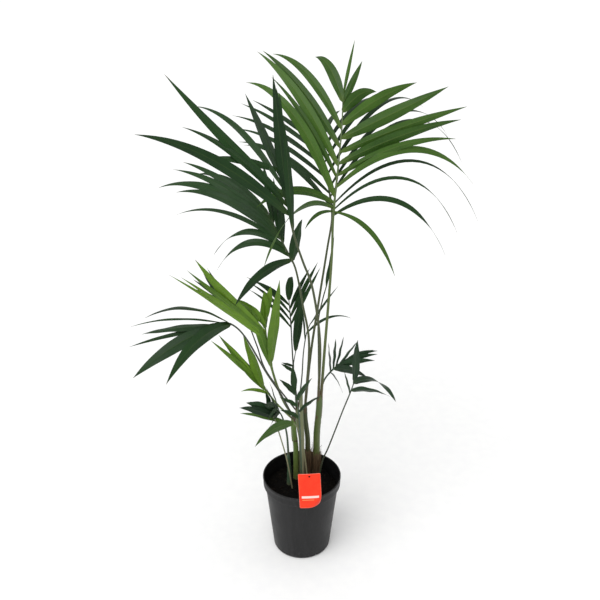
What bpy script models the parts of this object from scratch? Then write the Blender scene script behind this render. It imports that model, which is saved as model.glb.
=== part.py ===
# A potted palm: several seedlings of a feather-leaved palm growing together in a
# round nursery pot, with a card label clipped over the pot's rim.
# Metres, +Z up. The origin is the centre of the pot's underside.

import math

import bmesh
import bpy
from mathutils import Matrix, Vector

# Driving dimensions
GAP = 0.0003  # between any two neighbouring pieces
POT_HEIGHT = 0.229
POT_RIM_RADIUS = 0.105
POT_BASE_RADIUS = 0.077
POT_WALL = 0.0018
POT_FLOOR = 0.0022
POT_CORNER = 0.007  # round at the foot of the wall
COLLAR_HEIGHT = 0.026
COLLAR_STEP = 0.0035  # how far the collar stands out from the wall
LIP_THICKNESS = 0.0032
DRAIN_WIDTH = 0.009
DRAIN_HEIGHT = 0.006
DRAIN_COUNT = 4
DRAIN_TURN = math.radians(-60)
POT_STEPS = 56
SOIL_BELOW_RIM = 0.036
SOIL_SHOULDER = 0.004  # how much lower the soil lies at the wall
SOIL_FLAT = 0.80  # share of the soil's radius that is level
SEAT_TO_WALL = 0.006  # least bare soil between a stem and the pot's wall
SEAT_DEPTH = 0.030  # how deep a stem stands in the soil
LEAF_THICKNESS = 0.0009
LEAF_TIP_WIDTH = 0.0010
LEAF_THINNING = 0.6  # share of its thickness that a leaflet loses by its tip
SECTION_SIDES = 6
LABEL_WIDTH = 0.058
LABEL_HEIGHT = 0.098
LABEL_THICKNESS = 0.0006
LABEL_CORNER = 0.003
LABEL_HOLE = 0.0024
LABEL_HOLE_DROP = 0.008
LABEL_LEAN = math.radians(11)
LABEL_TURN = math.radians(3)
LABEL_CENTRE_X = 0.021
LABEL_OFF_RIM = 0.003  # clear of the rim where the card hangs over it
LABEL_BELOW_RIM = 0.022
CLIP_WIDTH = 0.014
CLIP_THICKNESS = 0.0008
CLIP_CLEAR = 0.0015  # above the lip
CLIP_REACH = 0.0115  # inwards from the outside of the rim
CLIP_DROP = 0.014

SOIL_TOP = POT_HEIGHT - SOIL_BELOW_RIM
UP = Vector((0, 0, 1))

# Stems: the seat is the place on the soil, the top is the end's place above the soil.
STEMS = {
    "stem_right": {"seat": (0.040, 0.050), "top": (0.046, 0.046, 0.262), "radii": (0.0095, 0.0080)},
    "stem_middle": {"seat": (0.016, 0.045), "top": (0.008, 0.045, 0.232), "radii": (0.0075, 0.0065)},
    "stem_left": {"seat": (-0.016, 0.030), "top": (-0.022, 0.020, 0.202), "radii": (0.0070, 0.0075)},
    "stem_inner": {"seat": (-0.003, 0.044), "top": (-0.012, 0.050, 0.215), "radii": (0.0045, 0.0045)},
    "stem_back": {"seat": (-0.001, 0.068), "top": (-0.010, 0.066, 0.192), "radii": (0.0055, 0.0060)},
    "stem_old": {"seat": (0.002, 0.018), "top": (-0.002, 0.022, 0.288), "radii": (0.0050, 0.0045)},
    "stem_small": {"seat": (-0.034, 0.006), "top": (-0.036, 0.004, 0.100), "radii": (0.0070, 0.0045)},
}
STEM_STATIONS = 7  # a stem's points above the soil
STEM_STRAIGHT = 0.45  # share of a stem, at its foot, that stands upright
SOCKET_SIDES = 24
SPOT_REACH = 1.2  # a petiole's foot is this many of its radii from the middle of a stem's end
STALK_SAMPLES = 120
PETIOLE_STATIONS = 8
MIDRIB_STATIONS = 10
LEAF_STATIONS = (0.06, 0.22, 0.42, 0.62, 0.82, 1.0)  # shares of a leaflet's length
LEAF_SUBSTEPS = 4
LEAF_ROLL = math.radians(20)  # each leaflet's tilt, so that neighbours overlap without meeting
LEAF_WIDEST = 0.40  # share of its length where a leaflet is widest
LEAF_NARROW = 0.30  # a leaflet's width at its root, as a share of its widest
LEAF_TAPER = 1.7  # how late a leaflet narrows towards its tip
ROOM_SIZE = (2.5, 2.5, 3.5)  # a box round the whole plant
DROOP_RISE = 1.3  # how late along its length a leaflet droops
SHEATH_WALL = 0.0022
SHEATH_BULGE = 0.0010
SHEATH_STEPS = 20
SHEATHS = {
    "fibre_sheath_right": {"stem": "stem_right", "height": 0.090},
    "fibre_sheath_middle": {"stem": "stem_middle", "height": 0.105},
}

# Fronds. A frond grows "on" a stem, at a spot on the stem's end given as a direction,
# or out of the soil where "on" is None. "stalk" is its route, in metres across and above the
# soil, "radii" are those of its foot, of the blade's first leaflet and of its tip, "blade" is
# the share of the stalk below the first leaflet, and "face" is the way its upper side looks.
# A leaflet is (place along the blade, angle from the stalk, lift towards the face, length,
# droop, width), with angles in degrees.
FRONDS = {
    "frond_top_front": {
        "on": "stem_right", "spot": (1.0, 0.1), "radii": (0.0040, 0.0028, 0.0013), "blade": 0.63,
        "stalk": [
            (0.058, 0.045, 0.397), (0.065, 0.050, 0.510), (0.073, 0.070, 0.638),
            (0.076, 0.090, 0.749), (0.087, 0.140, 0.847), (0.097, 0.200, 0.929), (0.101, 0.250, 1.002),
        ],
        "face": (0.0, -0.9, 0.45),
        "left": [
            (0.00, 86, 10, 0.09, 2.2, 0.010), (0.03, 76, 50, 0.29, 2.3, 0.019),
            (0.07, 66, 15, 0.21, 1.4, 0.022), (0.12, 28, 10, 0.40, 0.95, 0.028),
            (0.28, 33, 12, 0.30, 0.50, 0.016), (0.38, 32, 8, 0.37, 0.60, 0.026),
            (0.54, 36, 8, 0.33, 0.50, 0.024), (0.70, 30, 5, 0.31, 0.85, 0.022),
            (0.94, 18, 5, 0.18, 1.00, 0.028),
        ],
        "right": [
            (0.00, 96, 12, 0.235, 2.6, 0.013), (0.20, 43, 12, 0.42, 1.65, 0.018),
            (0.30, 54, 10, 0.31, 0.60, 0.020), (0.40, 58, 8, 0.32, 0.32, 0.028),
            (0.50, 62, 8, 0.33, 0.15, 0.026), (0.62, 60, 8, 0.29, 0.00, 0.034),
            (0.74, 48, 6, 0.22, 0.42, 0.030), (0.85, 34, 5, 0.12, 1.00, 0.030),
            (0.92, 22, 5, 0.12, 0.00, 0.018), (0.99, 9, 5, 0.15, 0.10, 0.009),
        ],
    },
    "frond_top_back": {
        "on": "stem_middle", "spot": (0.4, 1.0), "radii": (0.0034, 0.0025, 0.0012), "blade": 0.62,
        "stalk": [
            (0.023, 0.060, 0.379), (0.041, 0.070, 0.514), (0.062, 0.090, 0.657),
            (0.074, 0.118, 0.734), (0.068, 0.190, 0.777), (0.055, 0.300, 0.819), (0.043, 0.400, 0.843),
        ],
        "face": (0.0, -0.4, 0.9),
        "left": [
            (0.10, 36, 20, 0.33, 0.8, 0.014), (0.25, 38, 20, 0.34, 0.7, 0.014),
            (0.42, 40, 20, 0.34, 0.6, 0.014), (0.58, 40, 20, 0.34, 0.5, 0.014),
            (0.75, 38, 20, 0.32, 0.3, 0.014), (0.92, 32, 15, 0.30, 0.2, 0.014),
        ],
        "right": [
            (0.02, 62, 25, 0.37, 2.4, 0.014), (0.06, 59, 34, 0.43, 2.3, 0.009),
            (0.11, 61, 36, 0.52, 2.2, 0.009), (0.21, 50, 40, 0.60, 1.8, 0.012),
            (0.30, 48, 40, 0.54, 1.5, 0.012),
            (0.45, 44, 38, 0.50, 1.2, 0.012), (0.62, 42, 34, 0.46, 0.9, 0.012),
            (0.78, 36, 28, 0.40, 0.8, 0.012), (0.93, 22, 15, 0.26, 0.5, 0.014),
        ],
    },
    "frond_left_front": {
        "on": "stem_right", "spot": (-0.5, -0.87), "radii": (0.0036, 0.0026, 0.0012), "blade": 0.71,
        "stalk": [
            (0.045, 0.012, 0.440), (0.026, -0.010, 0.596), (0.002, -0.030, 0.679),
            (-0.017, -0.040, 0.744), (-0.030, -0.030, 0.804), (-0.042, 0.010, 0.855), (-0.049, 0.060, 0.898),
        ],
        "face": (0.2, -0.9, 0.4),
        "left": [
            (0.30, 39, 10, 0.395, 0.60, 0.030),
            (0.40, 32, 10, 0.31, 0.60, 0.018), (0.50, 40, 10, 0.39, -0.20, 0.024),
            (0.60, 23, 10, 0.36, 0.85, 0.016), (0.72, 16, 10, 0.24, 0.05, 0.022),
            (0.84, 74, 10, 0.19, 0.45, 0.018),
        ],
        "right": [
            (0.12, 8, 10, 0.25, 0.00, 0.022), (0.42, 5, 12, 0.31, 0.00, 0.030),
            (0.68, 4, 12, 0.25, 0.00, 0.032), (0.95, 4, 10, 0.20, 0.00, 0.022),
        ],
    },
    "frond_left_back": {
        "on": "stem_middle", "spot": (0.2, -1.0), "radii": (0.0034, 0.0024, 0.0012), "blade": 0.73,
        "stalk": [
            (0.018, 0.022, 0.426), (0.002, 0.020, 0.539), (-0.015, 0.020, 0.635),
            (-0.032, 0.030, 0.670), (-0.053, 0.060, 0.702), (-0.087, 0.130, 0.747),
        ],
        "face": (0.1, -0.5, 0.85),
        "left": [
            (0.03, 74, 10, 0.19, 1.3, 0.026), (0.10, 28, 12, 0.22, 2.1, 0.018), (0.20, 25, 12, 0.235, 2.0, 0.018),
            (0.29, 30, 15, 0.30, 1.0, 0.012), (0.40, 25, 15, 0.33, 0.85, 0.022),
            (0.52, 26, 15, 0.40, 0.95, 0.026), (0.65, 26, 15, 0.34, 0.6, 0.022),
            (0.78, 24, 15, 0.31, 0.5, 0.020), (0.92, 20, 15, 0.27, 0.8, 0.020),
        ],
        "right": [
            (0.02, 42, 10, 0.11, 0.5, 0.036), (0.33, 22, 10, 0.16, 0.2, 0.020),
            (0.46, 18, 10, 0.18, 0.2, 0.020), (0.72, 14, 10, 0.20, 0.2, 0.020),
        ],
    },
    "frond_low_left": {
        "on": "stem_left", "spot": (0.5, -0.87), "radii": (0.0028, 0.0022, 0.0012), "blade": 0.85,
        "stalk": [
            (-0.056, -0.010, 0.302), (-0.090, -0.030, 0.377), (-0.135, -0.070, 0.497),
            (-0.163, -0.105, 0.552), (-0.188, -0.122, 0.564), (-0.213, -0.130, 0.557),
        ],
        "face": (0.1, -0.4, 0.9),
        "left": [
            (0.20, 25, -6, 0.275, 0.95, 0.032), (0.70, 5, 0, 0.230, 0.55, 0.034), (0.97, -18, 0, 0.20, 0.2, 0.010),
        ],
        "right": [
            (0.02, 1, 10, 0.29, 0.75, 0.020), (0.45, 17, 10, 0.22, 0.55, 0.010), (0.82, 26, 5, 0.18, 0.25, 0.028),
        ],
    },
    "frond_bright": {
        "on": "stem_left", "spot": (0.5, 0.87), "radii": (0.0034, 0.0030, 0.0014), "blade": 0.50,
        "stalk": [
            (-0.050, 0.012, 0.268), (-0.074, 0.000, 0.358), (-0.086, -0.010, 0.443),
            (-0.090, -0.010, 0.500), (-0.081, 0.000, 0.541),
        ],
        "face": (0.3, -0.9, 0.3),
        "left": [
            (0.04, 5, 10, 0.20, 0.00, 0.022), (0.50, 36, 10, 0.34, 0.15, 0.012), (0.55, 37, 14, 0.31, 0.10, 0.016),
            (0.59, 37, 18, 0.31, 0.00, 0.018), (0.63, 38, 20, 0.31, -0.30, 0.026),
            (0.74, 34, 8, 0.125, 0.70, 0.022), (0.86, 18, 8, 0.07, 0.20, 0.022),
        ],
        "right": [
            (0.10, 14, 14, 0.250, 0.20, 0.036), (0.70, -4, 8, 0.08, 0.30, 0.022), (0.97, -10, 8, 0.06, 0.70, 0.020),
        ],
    },
    "frond_slim": {
        "on": "stem_back", "spot": (-1.0, 0.2), "radii": (0.0022, 0.0017, 0.0010), "blade": 0.80,
        "stalk": [
            (-0.092, 0.070, 0.315), (-0.117, 0.085, 0.385), (-0.140, 0.100, 0.443),
            (-0.171, 0.120, 0.473), (-0.208, 0.140, 0.492),
        ],
        "face": (0.3, -0.6, 0.7),
        "left": [(0.30, 12, 10, 0.13, 0.3, 0.010), (0.75, -4, 10, 0.12, 0.1, 0.010)],
        "right": [(0.50, 16, 10, 0.13, -0.2, 0.012), (0.97, 14, 10, 0.09, -0.4, 0.010)],
    },
    "frond_low_green": {
        "on": "stem_left", "spot": (-1.0, 0.0), "radii": (0.0028, 0.0024, 0.0012), "blade": 0.55,
        "stalk": [(-0.067, 0.010, 0.258), (-0.103, 0.010, 0.313), (-0.128, 0.010, 0.350)],
        "face": (0.3, -0.8, 0.5),
        "left": [
            (0.05, 24, 5, 0.08, 0.8, 0.010), (0.55, 8, 5, 0.18, 0.1, 0.014), (0.97, 0, 5, 0.12, 0.1, 0.012),
        ],
        "right": [(0.22, -3, 8, 0.20, 0.0, 0.026), (0.36, 15, 8, 0.150, 0.0, 0.030)],
    },
    "frond_centre": {
        "on": "stem_back", "spot": (0.4, 1.0), "radii": (0.0022, 0.0017, 0.0010), "blade": 0.76,
        "stalk": [
            (-0.021, 0.080, 0.300), (-0.026, 0.090, 0.386), (-0.028, 0.100, 0.428),
            (-0.031, 0.116, 0.468), (-0.034, 0.130, 0.500),
        ],
        "face": (0.0, -0.9, 0.4),
        "left": [
            (0.02, 35, 10, 0.15, 0.5, 0.010), (0.27, 35, 10, 0.15, 0.5, 0.010), (0.52, 35, 10, 0.15, 0.6, 0.010),
            (0.78, 40, 14, 0.12, 0.6, 0.012),
        ],
        "right": [
            (0.12, 30, 10, 0.17, 0.1, 0.012), (0.38, 30, 10, 0.16, 0.1, 0.014), (0.64, 28, 12, 0.12, 0.3, 0.012),
            (0.95, 8, 14, 0.08, 1.2, 0.022),
        ],
    },
    "frond_upright": {
        "on": "stem_inner", "spot": (-1.0, 0.0), "radii": (0.0022, 0.0018, 0.0010), "blade": 0.62,
        "stalk": [(-0.018, 0.050, 0.290), (-0.022, 0.050, 0.345), (-0.016, 0.052, 0.390)],
        "face": (0.2, -0.9, 0.2),
        "left": [(0.05, 40, 0, 0.045, 0.2, 0.012), (0.30, 60, 0, 0.035, 0.2, 0.010)],
        "right": [(0.97, -3, 0, 0.18, 0.0, 0.026)],
    },
    "frond_thin": {
        "on": "stem_inner", "spot": (1.0, 0.3), "radii": (0.0020, 0.0015, 0.0010), "blade": 0.70,
        "stalk": [(0.000, 0.072, 0.300), (0.004, 0.078, 0.370), (0.012, 0.082, 0.425), (0.022, 0.086, 0.452)],
        "face": (-0.3, -0.7, 0.6),
        "left": [(0.30, 14, 0, 0.10, 0.3, 0.008), (0.95, -10, -4, 0.13, 0.2, 0.008)],
        "right": [(0.60, 28, 0, 0.14, 1.0, 0.008)],
    },
    "spear": {
        "on": "stem_right", "spot": (-0.5, 0.87), "radii": (0.0022, 0.0016, 0.0010), "blade": 0.90,
        "stalk": [(0.043, 0.074, 0.379), (0.042, 0.080, 0.460), (0.052, 0.084, 0.520), (0.066, 0.087, 0.575)],
        "face": (0.0, -0.9, 0.3),
        "left": [(0.40, 10, 0, 0.06, 0.0, 0.008)],
        "right": [(0.95, -8, 0, 0.12, 0.0, 0.008)],
    },
    "frond_right": {
        "on": None, "seat": (0.028, 0.066), "radii": (0.0028, 0.0022, 0.0012), "blade": 0.80,
        "stalk": [
            (0.047, 0.078, 0.150), (0.050, 0.074, 0.240), (0.058, 0.066, 0.290),
            (0.073, 0.052, 0.325), (0.094, 0.036, 0.358), (0.120, 0.027, 0.384),
        ],
        "face": (-0.3, -0.6, 0.7),
        "left": [
            (0.04, 48, 10, 0.08, 0.2, 0.026), (0.22, 42, 10, 0.085, 0.1, 0.022), (0.38, 34, 10, 0.090, 0.1, 0.018),
            (0.58, 14, 10, 0.090, 0.1, 0.014), (0.80, -6, 10, 0.090, 0.2, 0.014),
        ],
        "right": [
            (0.05, 54, 10, 0.08, 0.8, 0.010), (0.26, 26, 10, 0.15, 0.4, 0.022), (0.44, 16, 10, 0.15, 0.3, 0.018),
            (0.66, 12, 10, 0.12, 0.3, 0.014), (0.96, 8, 10, 0.09, 0.4, 0.012),
        ],
    },
    "frond_right_small": {
        "on": None, "seat": (0.044, 0.000), "radii": (0.0022, 0.0017, 0.0010), "blade": 0.86,
        "stalk": [
            (0.054, -0.010, 0.084), (0.069, -0.020, 0.137), (0.088, -0.030, 0.207),
            (0.104, -0.050, 0.277), (0.119, -0.070, 0.340), (0.129, -0.082, 0.386),
        ],
        "face": (0.0, -0.5, 0.8),
        "left": [(0.10, 28, 10, 0.07, 0.1, 0.012), (0.85, 11, 10, 0.135, 0.1, 0.026)],
        "right": [(0.30, 40, 10, 0.13, 0.5, 0.024), (0.75, 27, 12, 0.155, 1.5, 0.030)],
    },
    "frond_inner": {
        "on": None, "seat": (0.000, -0.024), "radii": (0.0022, 0.0018, 0.0010), "blade": 0.72,
        "stalk": [(-0.002, -0.030, 0.100), (-0.005, -0.036, 0.200), (-0.010, -0.040, 0.270), (-0.018, -0.044, 0.330)],
        "face": (0.0, -0.6, 0.7),
        "left": [(0.05, 40, 5, 0.060, 0.5, 0.016), (0.45, 36, 5, 0.060, 0.4, 0.016), (0.85, 22, 5, 0.070, 0.4, 0.016)],
        "right": [(0.25, 44, 5, 0.080, 0.5, 0.016), (0.65, 32, 5, 0.080, 0.4, 0.018), (0.97, 4, 5, 0.080, 0.3, 0.018)],
    },
    "frond_small_low": {
        "on": None, "seat": (0.016, 0.000), "radii": (0.0022, 0.0018, 0.0010), "blade": 0.90,
        "stalk": [(0.008, -0.008, 0.100), (-0.006, -0.026, 0.190), (-0.020, -0.038, 0.226), (-0.034, -0.042, 0.230)],
        "face": (0.0, -0.5, 0.8),
        "left": [(0.40, 26, 0, 0.145, 1.0, 0.028)],
        "right": [(0.95, 26, 5, 0.13, 0.4, 0.018)],
    },
    "frond_small_left": {
        "on": None, "seat": (-0.026, -0.014), "radii": (0.0020, 0.0016, 0.0010), "blade": 0.88,
        "stalk": [(-0.040, -0.026, 0.105), (-0.060, -0.042, 0.205), (-0.070, -0.048, 0.250), (-0.080, -0.052, 0.275)],
        "face": (0.0, -0.5, 0.8),
        "left": [(0.30, 30, 0, 0.115, 0.4, 0.024), (0.96, 22, 0, 0.085, 0.4, 0.024)],
        "right": [(0.60, 15, 0, 0.07, 0.3, 0.020)],
    },
    "frond_small_dark": {
        "on": "stem_small", "spot": (0.0, 0.0), "radii": (0.0030, 0.0020, 0.0010), "blade": 0.80,
        "stalk": [(-0.040, -0.002, 0.170), (-0.051, -0.018, 0.234), (-0.063, -0.036, 0.268)],
        "face": (0.0, -0.5, 0.8),
        "left": [(0.45, 34, 6, 0.085, 0.6, 0.020), (0.70, 24, 6, 0.085, 0.5, 0.020), (0.96, 10, 4, 0.085, 0.4, 0.024)],
        "right": [(0.40, 26, 0, 0.10, 0.2, 0.022), (0.80, 18, 0, 0.09, 0.2, 0.022)],
    },
}

COLOURS = {
    "pot": ((0.028, 0.028, 0.030, 1.0), 0.55),
    "soil": ((0.020, 0.014, 0.010, 1.0), 0.95),
    "label": ((0.850, 0.080, 0.035, 1.0), 0.40),
    "stem": ((0.120, 0.190, 0.040, 1.0), 0.50),
    "fibre": ((0.110, 0.060, 0.025, 1.0), 0.90),
    "leaf": ((0.040, 0.140, 0.030, 1.0), 0.42),
}

parts = None
cutters = None


def clear_scene():
    for obj in list(bpy.data.objects):
        bpy.data.objects.remove(obj, do_unlink=True)


def new_collection(name):
    made = bpy.data.collections.new(name)
    bpy.context.scene.collection.children.link(made)
    return made


def material_for(obj, finish):
    colour, roughness = COLOURS[finish]
    made = bpy.data.materials.new(obj.name)
    made.use_nodes = True
    shader = made.node_tree.nodes["Principled BSDF"]
    shader.inputs["Base Color"].default_value = colour
    shader.inputs["Roughness"].default_value = roughness
    shader.inputs["Metallic"].default_value = 0.0
    obj.data.materials.append(made)


def add_object(name, data, finish=None):
    obj = bpy.data.objects.new(name, data)
    if finish:
        parts.objects.link(obj)
        material_for(obj, finish)
    else:
        cutters.objects.link(obj)
        obj.hide_render = True
        obj.display_type = "WIRE"
    return obj


def mesh_object(name, bm, finish=None):
    bmesh.ops.recalc_face_normals(bm, faces=bm.faces)
    data = bpy.data.meshes.new(name)
    bm.to_mesh(data)
    bm.free()
    data.shade_smooth()
    data.set_sharp_from_angle(angle=math.radians(40))
    return add_object(name, data, finish)


def turned(name, profile, finish, steps, centre=(0.0, 0.0, 0.0)):
    """A closed or axis-to-axis profile of (radius, height) points, turned about the upright axis."""
    bm = bmesh.new()
    verts = [bm.verts.new((radius, 0.0, height)) for radius, height in profile]
    for first, second in zip(verts, verts[1:]):
        bm.edges.new((first, second))
    if profile[0][0] > 0.0:
        bm.edges.new((verts[-1], verts[0]))
    data = bpy.data.meshes.new(name)
    bm.to_mesh(data)
    bm.free()
    obj = add_object(name, data, finish)
    obj.location = centre
    screw = obj.modifiers.new("turn", "SCREW")
    screw.steps = steps
    screw.render_steps = steps
    screw.use_merge_vertices = True
    screw.merge_threshold = 0.00001
    return obj


def cut(obj, cutter):
    boolean = obj.modifiers.new(cutter.name, "BOOLEAN")
    boolean.operation = "DIFFERENCE"
    boolean.object = cutter


def box_cutter(name, size, matrix):
    bm = bmesh.new()
    bmesh.ops.create_cube(bm, size=1.0, matrix=matrix @ Matrix.Diagonal((*size, 1.0)))
    return mesh_object(name, bm)


# Pot


def wall_radius(height):
    """The pot's outer radius below its collar."""
    top = POT_RIM_RADIUS - COLLAR_STEP
    return POT_BASE_RADIUS + (top - POT_BASE_RADIUS) * height / POT_HEIGHT


def inner_radius(height):
    return wall_radius(height) - POT_WALL


def corner_round(radius):
    """The quarter round between the wall and the floor, from the wall down, at a radius from its centre."""
    centre = wall_radius(POT_CORNER) - POT_CORNER
    points = []
    for turn in (0, 30, 60, 90):
        angle = math.radians(turn)
        points.append((centre + radius * math.cos(angle), POT_CORNER - radius * math.sin(angle)))
    return points


def make_pot():
    collar_foot = POT_HEIGHT - COLLAR_HEIGHT
    lip = LIP_THICKNESS / 2
    profile = [(0.0, POT_FLOOR), *corner_round(POT_CORNER - POT_FLOOR)[::-1]]
    profile.append((inner_radius(collar_foot), collar_foot))
    profile.append((POT_RIM_RADIUS - LIP_THICKNESS, POT_HEIGHT - lip))
    for turn in (45, 90, 135):
        angle = math.radians(180 - turn)
        profile.append((POT_RIM_RADIUS - lip + lip * math.cos(angle), POT_HEIGHT - lip + lip * math.sin(angle)))
    profile.append((POT_RIM_RADIUS, POT_HEIGHT - lip))
    profile.append((POT_RIM_RADIUS - COLLAR_STEP / 3, collar_foot))
    profile.append((wall_radius(collar_foot), collar_foot - COLLAR_STEP / 2))
    profile += [*corner_round(POT_CORNER), (0.0, 0.0)]
    pot = turned("pot", profile, "pot", POT_STEPS)
    size = (POT_CORNER * 2 + POT_WALL, DRAIN_WIDTH, DRAIN_HEIGHT * 2)
    for index in range(DRAIN_COUNT):
        turn = Matrix.Rotation(DRAIN_TURN + index * math.tau / DRAIN_COUNT, 4, "Z")
        place = turn @ Matrix.Translation((POT_BASE_RADIUS - POT_CORNER / 2, 0.0, 0.0))
        cut(pot, box_cutter("drain_%d" % index, size, place))


# Soil


def socket_cutter(name, piece):
    radius = piece["radii"][0] + 2 * GAP
    bm = bmesh.new()
    bmesh.ops.create_cone(
        bm, cap_ends=True, segments=SOCKET_SIDES, radius1=radius, radius2=radius,
        depth=2 * (SEAT_DEPTH + GAP), matrix=Matrix.Translation(seat_of(piece)),
    )
    return mesh_object(name, bm)


def seat_of(piece):
    """A seat's place on the soil, kept clear of the pot's wall."""
    seat = Vector((*piece["seat"], SOIL_TOP))
    reach = seat.xy.length
    most = inner_radius(SOIL_TOP) - SEAT_TO_WALL - piece["radii"][0]
    if reach > most:
        seat.xy = seat.xy * most / reach
    return seat


def make_soil():
    foot = POT_FLOOR + GAP
    shoulder = SOIL_TOP - SOIL_SHOULDER
    wall_foot = wall_radius(POT_CORNER) - POT_FLOOR
    profile = [
        (0.0, SOIL_TOP), (inner_radius(SOIL_TOP) * SOIL_FLAT, SOIL_TOP),
        (inner_radius(shoulder) - 2 * GAP, shoulder), (wall_foot - 2 * GAP, POT_CORNER),
        (wall_radius(POT_CORNER) - POT_CORNER, foot), (0.0, foot),
    ]
    soil = turned("soil", profile, "soil", POT_STEPS)
    for name, stem in STEMS.items():
        cut(soil, socket_cutter("socket_" + name, stem))
    for name, frond in FRONDS.items():
        if frond["on"] is None:
            cut(soil, socket_cutter("socket_" + name, frond))


# Label


def label_frame():
    """Where the card's middle is, with its width along X and its height along Y."""
    below = LABEL_HEIGHT / 2 - LABEL_BELOW_RIM
    out = POT_RIM_RADIUS + LABEL_OFF_RIM - math.sin(LABEL_LEAN) * below
    middle = Vector((LABEL_CENTRE_X, -out, POT_HEIGHT + below * math.cos(LABEL_LEAN)))
    lean = Matrix.Rotation(math.pi / 2 - LABEL_LEAN, 4, "X")
    return Matrix.Translation(middle) @ lean @ Matrix.Rotation(LABEL_TURN, 4, "Z")


def add_loop(curve, points):
    spline = curve.splines.new("POLY")
    spline.points.add(len(points) - 1)
    for point, (x, y) in zip(spline.points, points):
        point.co = (x, y, 0.0, 1.0)
    spline.use_cyclic_u = True


def make_label():
    half_width = LABEL_WIDTH / 2 - LABEL_CORNER
    half_height = LABEL_HEIGHT / 2 - LABEL_CORNER
    outline = []
    for corner, (side, end) in enumerate(((1, 1), (-1, 1), (-1, -1), (1, -1))):
        for step in range(4):
            angle = math.radians(90 * corner + 30 * step)
            x = side * half_width + LABEL_CORNER * math.cos(angle)
            outline.append((x, end * half_height + LABEL_CORNER * math.sin(angle)))
    hole_y = LABEL_HEIGHT / 2 - LABEL_HOLE_DROP
    hole = []
    for step in range(12):
        angle = math.tau * step / 12
        hole.append((LABEL_HOLE * math.cos(angle), hole_y + LABEL_HOLE * math.sin(angle)))
    curve = bpy.data.curves.new("label_card", "CURVE")
    curve.dimensions = "2D"
    curve.fill_mode = "BOTH"
    curve.extrude = LABEL_THICKNESS / 2
    add_loop(curve, outline)
    add_loop(curve, hole)
    flat = add_object("label_outline", curve)
    data = bpy.data.meshes.new_from_object(flat)
    bm = bmesh.new()
    bm.from_mesh(data)
    bmesh.ops.remove_doubles(bm, verts=bm.verts, dist=0.00001)
    bmesh.ops.transform(bm, matrix=label_frame(), verts=bm.verts)
    card = mesh_object("label_card", bm, "label")
    join = card.modifiers.new("clip", "BOOLEAN")
    join.operation = "UNION"
    join.object = make_clip()


def make_clip():
    """The tongue behind the card that hooks over the pot's lip."""
    over = POT_HEIGHT + CLIP_CLEAR
    front = -POT_RIM_RADIUS - LABEL_OFF_RIM - LABEL_THICKNESS
    back = -POT_RIM_RADIUS + CLIP_REACH
    foot = POT_HEIGHT - CLIP_DROP
    outline = [
        (front, over + CLIP_THICKNESS), (back, over + CLIP_THICKNESS), (back, foot),
        (back - CLIP_THICKNESS, foot), (back - CLIP_THICKNESS, over), (front, over),
    ]
    bm = bmesh.new()
    left = LABEL_CENTRE_X - CLIP_WIDTH / 2
    face = bm.faces.new([bm.verts.new((left, y, z)) for y, z in outline])
    grown = bmesh.ops.extrude_face_region(bm, geom=[face], use_keep_orig=True)
    moved = [item for item in grown["geom"] if isinstance(item, bmesh.types.BMVert)]
    bmesh.ops.translate(bm, verts=moved, vec=(CLIP_WIDTH, 0.0, 0.0))
    return mesh_object("label_clip", bm)


# Stems


def stem_end(name):
    x, y, height = STEMS[name]["top"]
    return Vector((x, y, SOIL_TOP + height))


def stem_point(name, share):
    """A stem's middle: upright at its foot and at its end, and leaning between them."""
    stem = STEMS[name]
    foot = seat_of(stem)
    end = stem_end(name)
    lean = min(max((share - STEM_STRAIGHT) / (0.9 - STEM_STRAIGHT), 0.0), 1.0)
    lean = lean * lean * (3 - 2 * lean)
    point = foot.lerp(end, lean)
    point.z = foot.z + (end.z - foot.z) * share
    return point


def make_stem(name):
    low, high = STEMS[name]["radii"]
    foot = stem_point(name, 0.0)
    points = [(foot - UP * SEAT_DEPTH, low)]
    for step in range(STEM_STATIONS + 1):
        share = step / STEM_STATIONS
        points.append((stem_point(name, share), low + (high - low) * share))
    curve = bpy.data.curves.new(name, "CURVE")
    curve.dimensions = "3D"
    curve.bevel_depth = 1.0
    curve.bevel_resolution = 2
    curve.use_fill_caps = True
    spline = curve.splines.new("POLY")
    spline.points.add(len(points) - 1)
    for point, (place, radius) in zip(spline.points, points):
        point.co = (*place, 1.0)
        point.radius = radius
    add_object(name, curve, "stem")


def make_sheath(name):
    """Old fibre left round a stem's foot."""
    sheath = SHEATHS[name]
    stem = STEMS[sheath["stem"]]
    inner = max(stem["radii"]) + 2 * GAP
    outer = inner + SHEATH_WALL
    height = sheath["height"]
    profile = [
        (inner, GAP), (inner, height), (inner + SHEATH_WALL / 2, height), (outer, height * 0.8),
        (outer + SHEATH_BULGE, height * 0.5), (outer, height * 0.2), (outer + SHEATH_BULGE, GAP),
    ]
    turned(name, profile, "fibre", SHEATH_STEPS, seat_of(stem))


# Fronds


def smooth_path(points, count):
    """A smooth line through the points, read at even steps."""
    first = points[0] * 2 - points[1]
    last = points[-1] * 2 - points[-2]
    ends = [first, *points, last]
    fine = []
    for a, b, c, d in zip(ends, ends[1:], ends[2:], ends[3:]):
        for step in range(12):
            t = step / 12
            bend = (a * 2 - b * 5 + c * 4 - d) * t * t + (b * 3 - a - c * 3 + d) * t ** 3
            fine.append((b * 2 + (c - a) * t + bend) / 2)
    fine.append(points[-1])
    lengths = [0.0]
    for a, b in zip(fine, fine[1:]):
        lengths.append(lengths[-1] + (b - a).length)
    even = []
    index = 0
    for step in range(count + 1):
        reach = lengths[-1] * step / count
        while index < len(fine) - 2 and lengths[index + 1] < reach:
            index += 1
        t = (reach - lengths[index]) / (lengths[index + 1] - lengths[index])
        even.append(fine[index].lerp(fine[index + 1], t))
    return even, lengths[-1]


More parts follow.
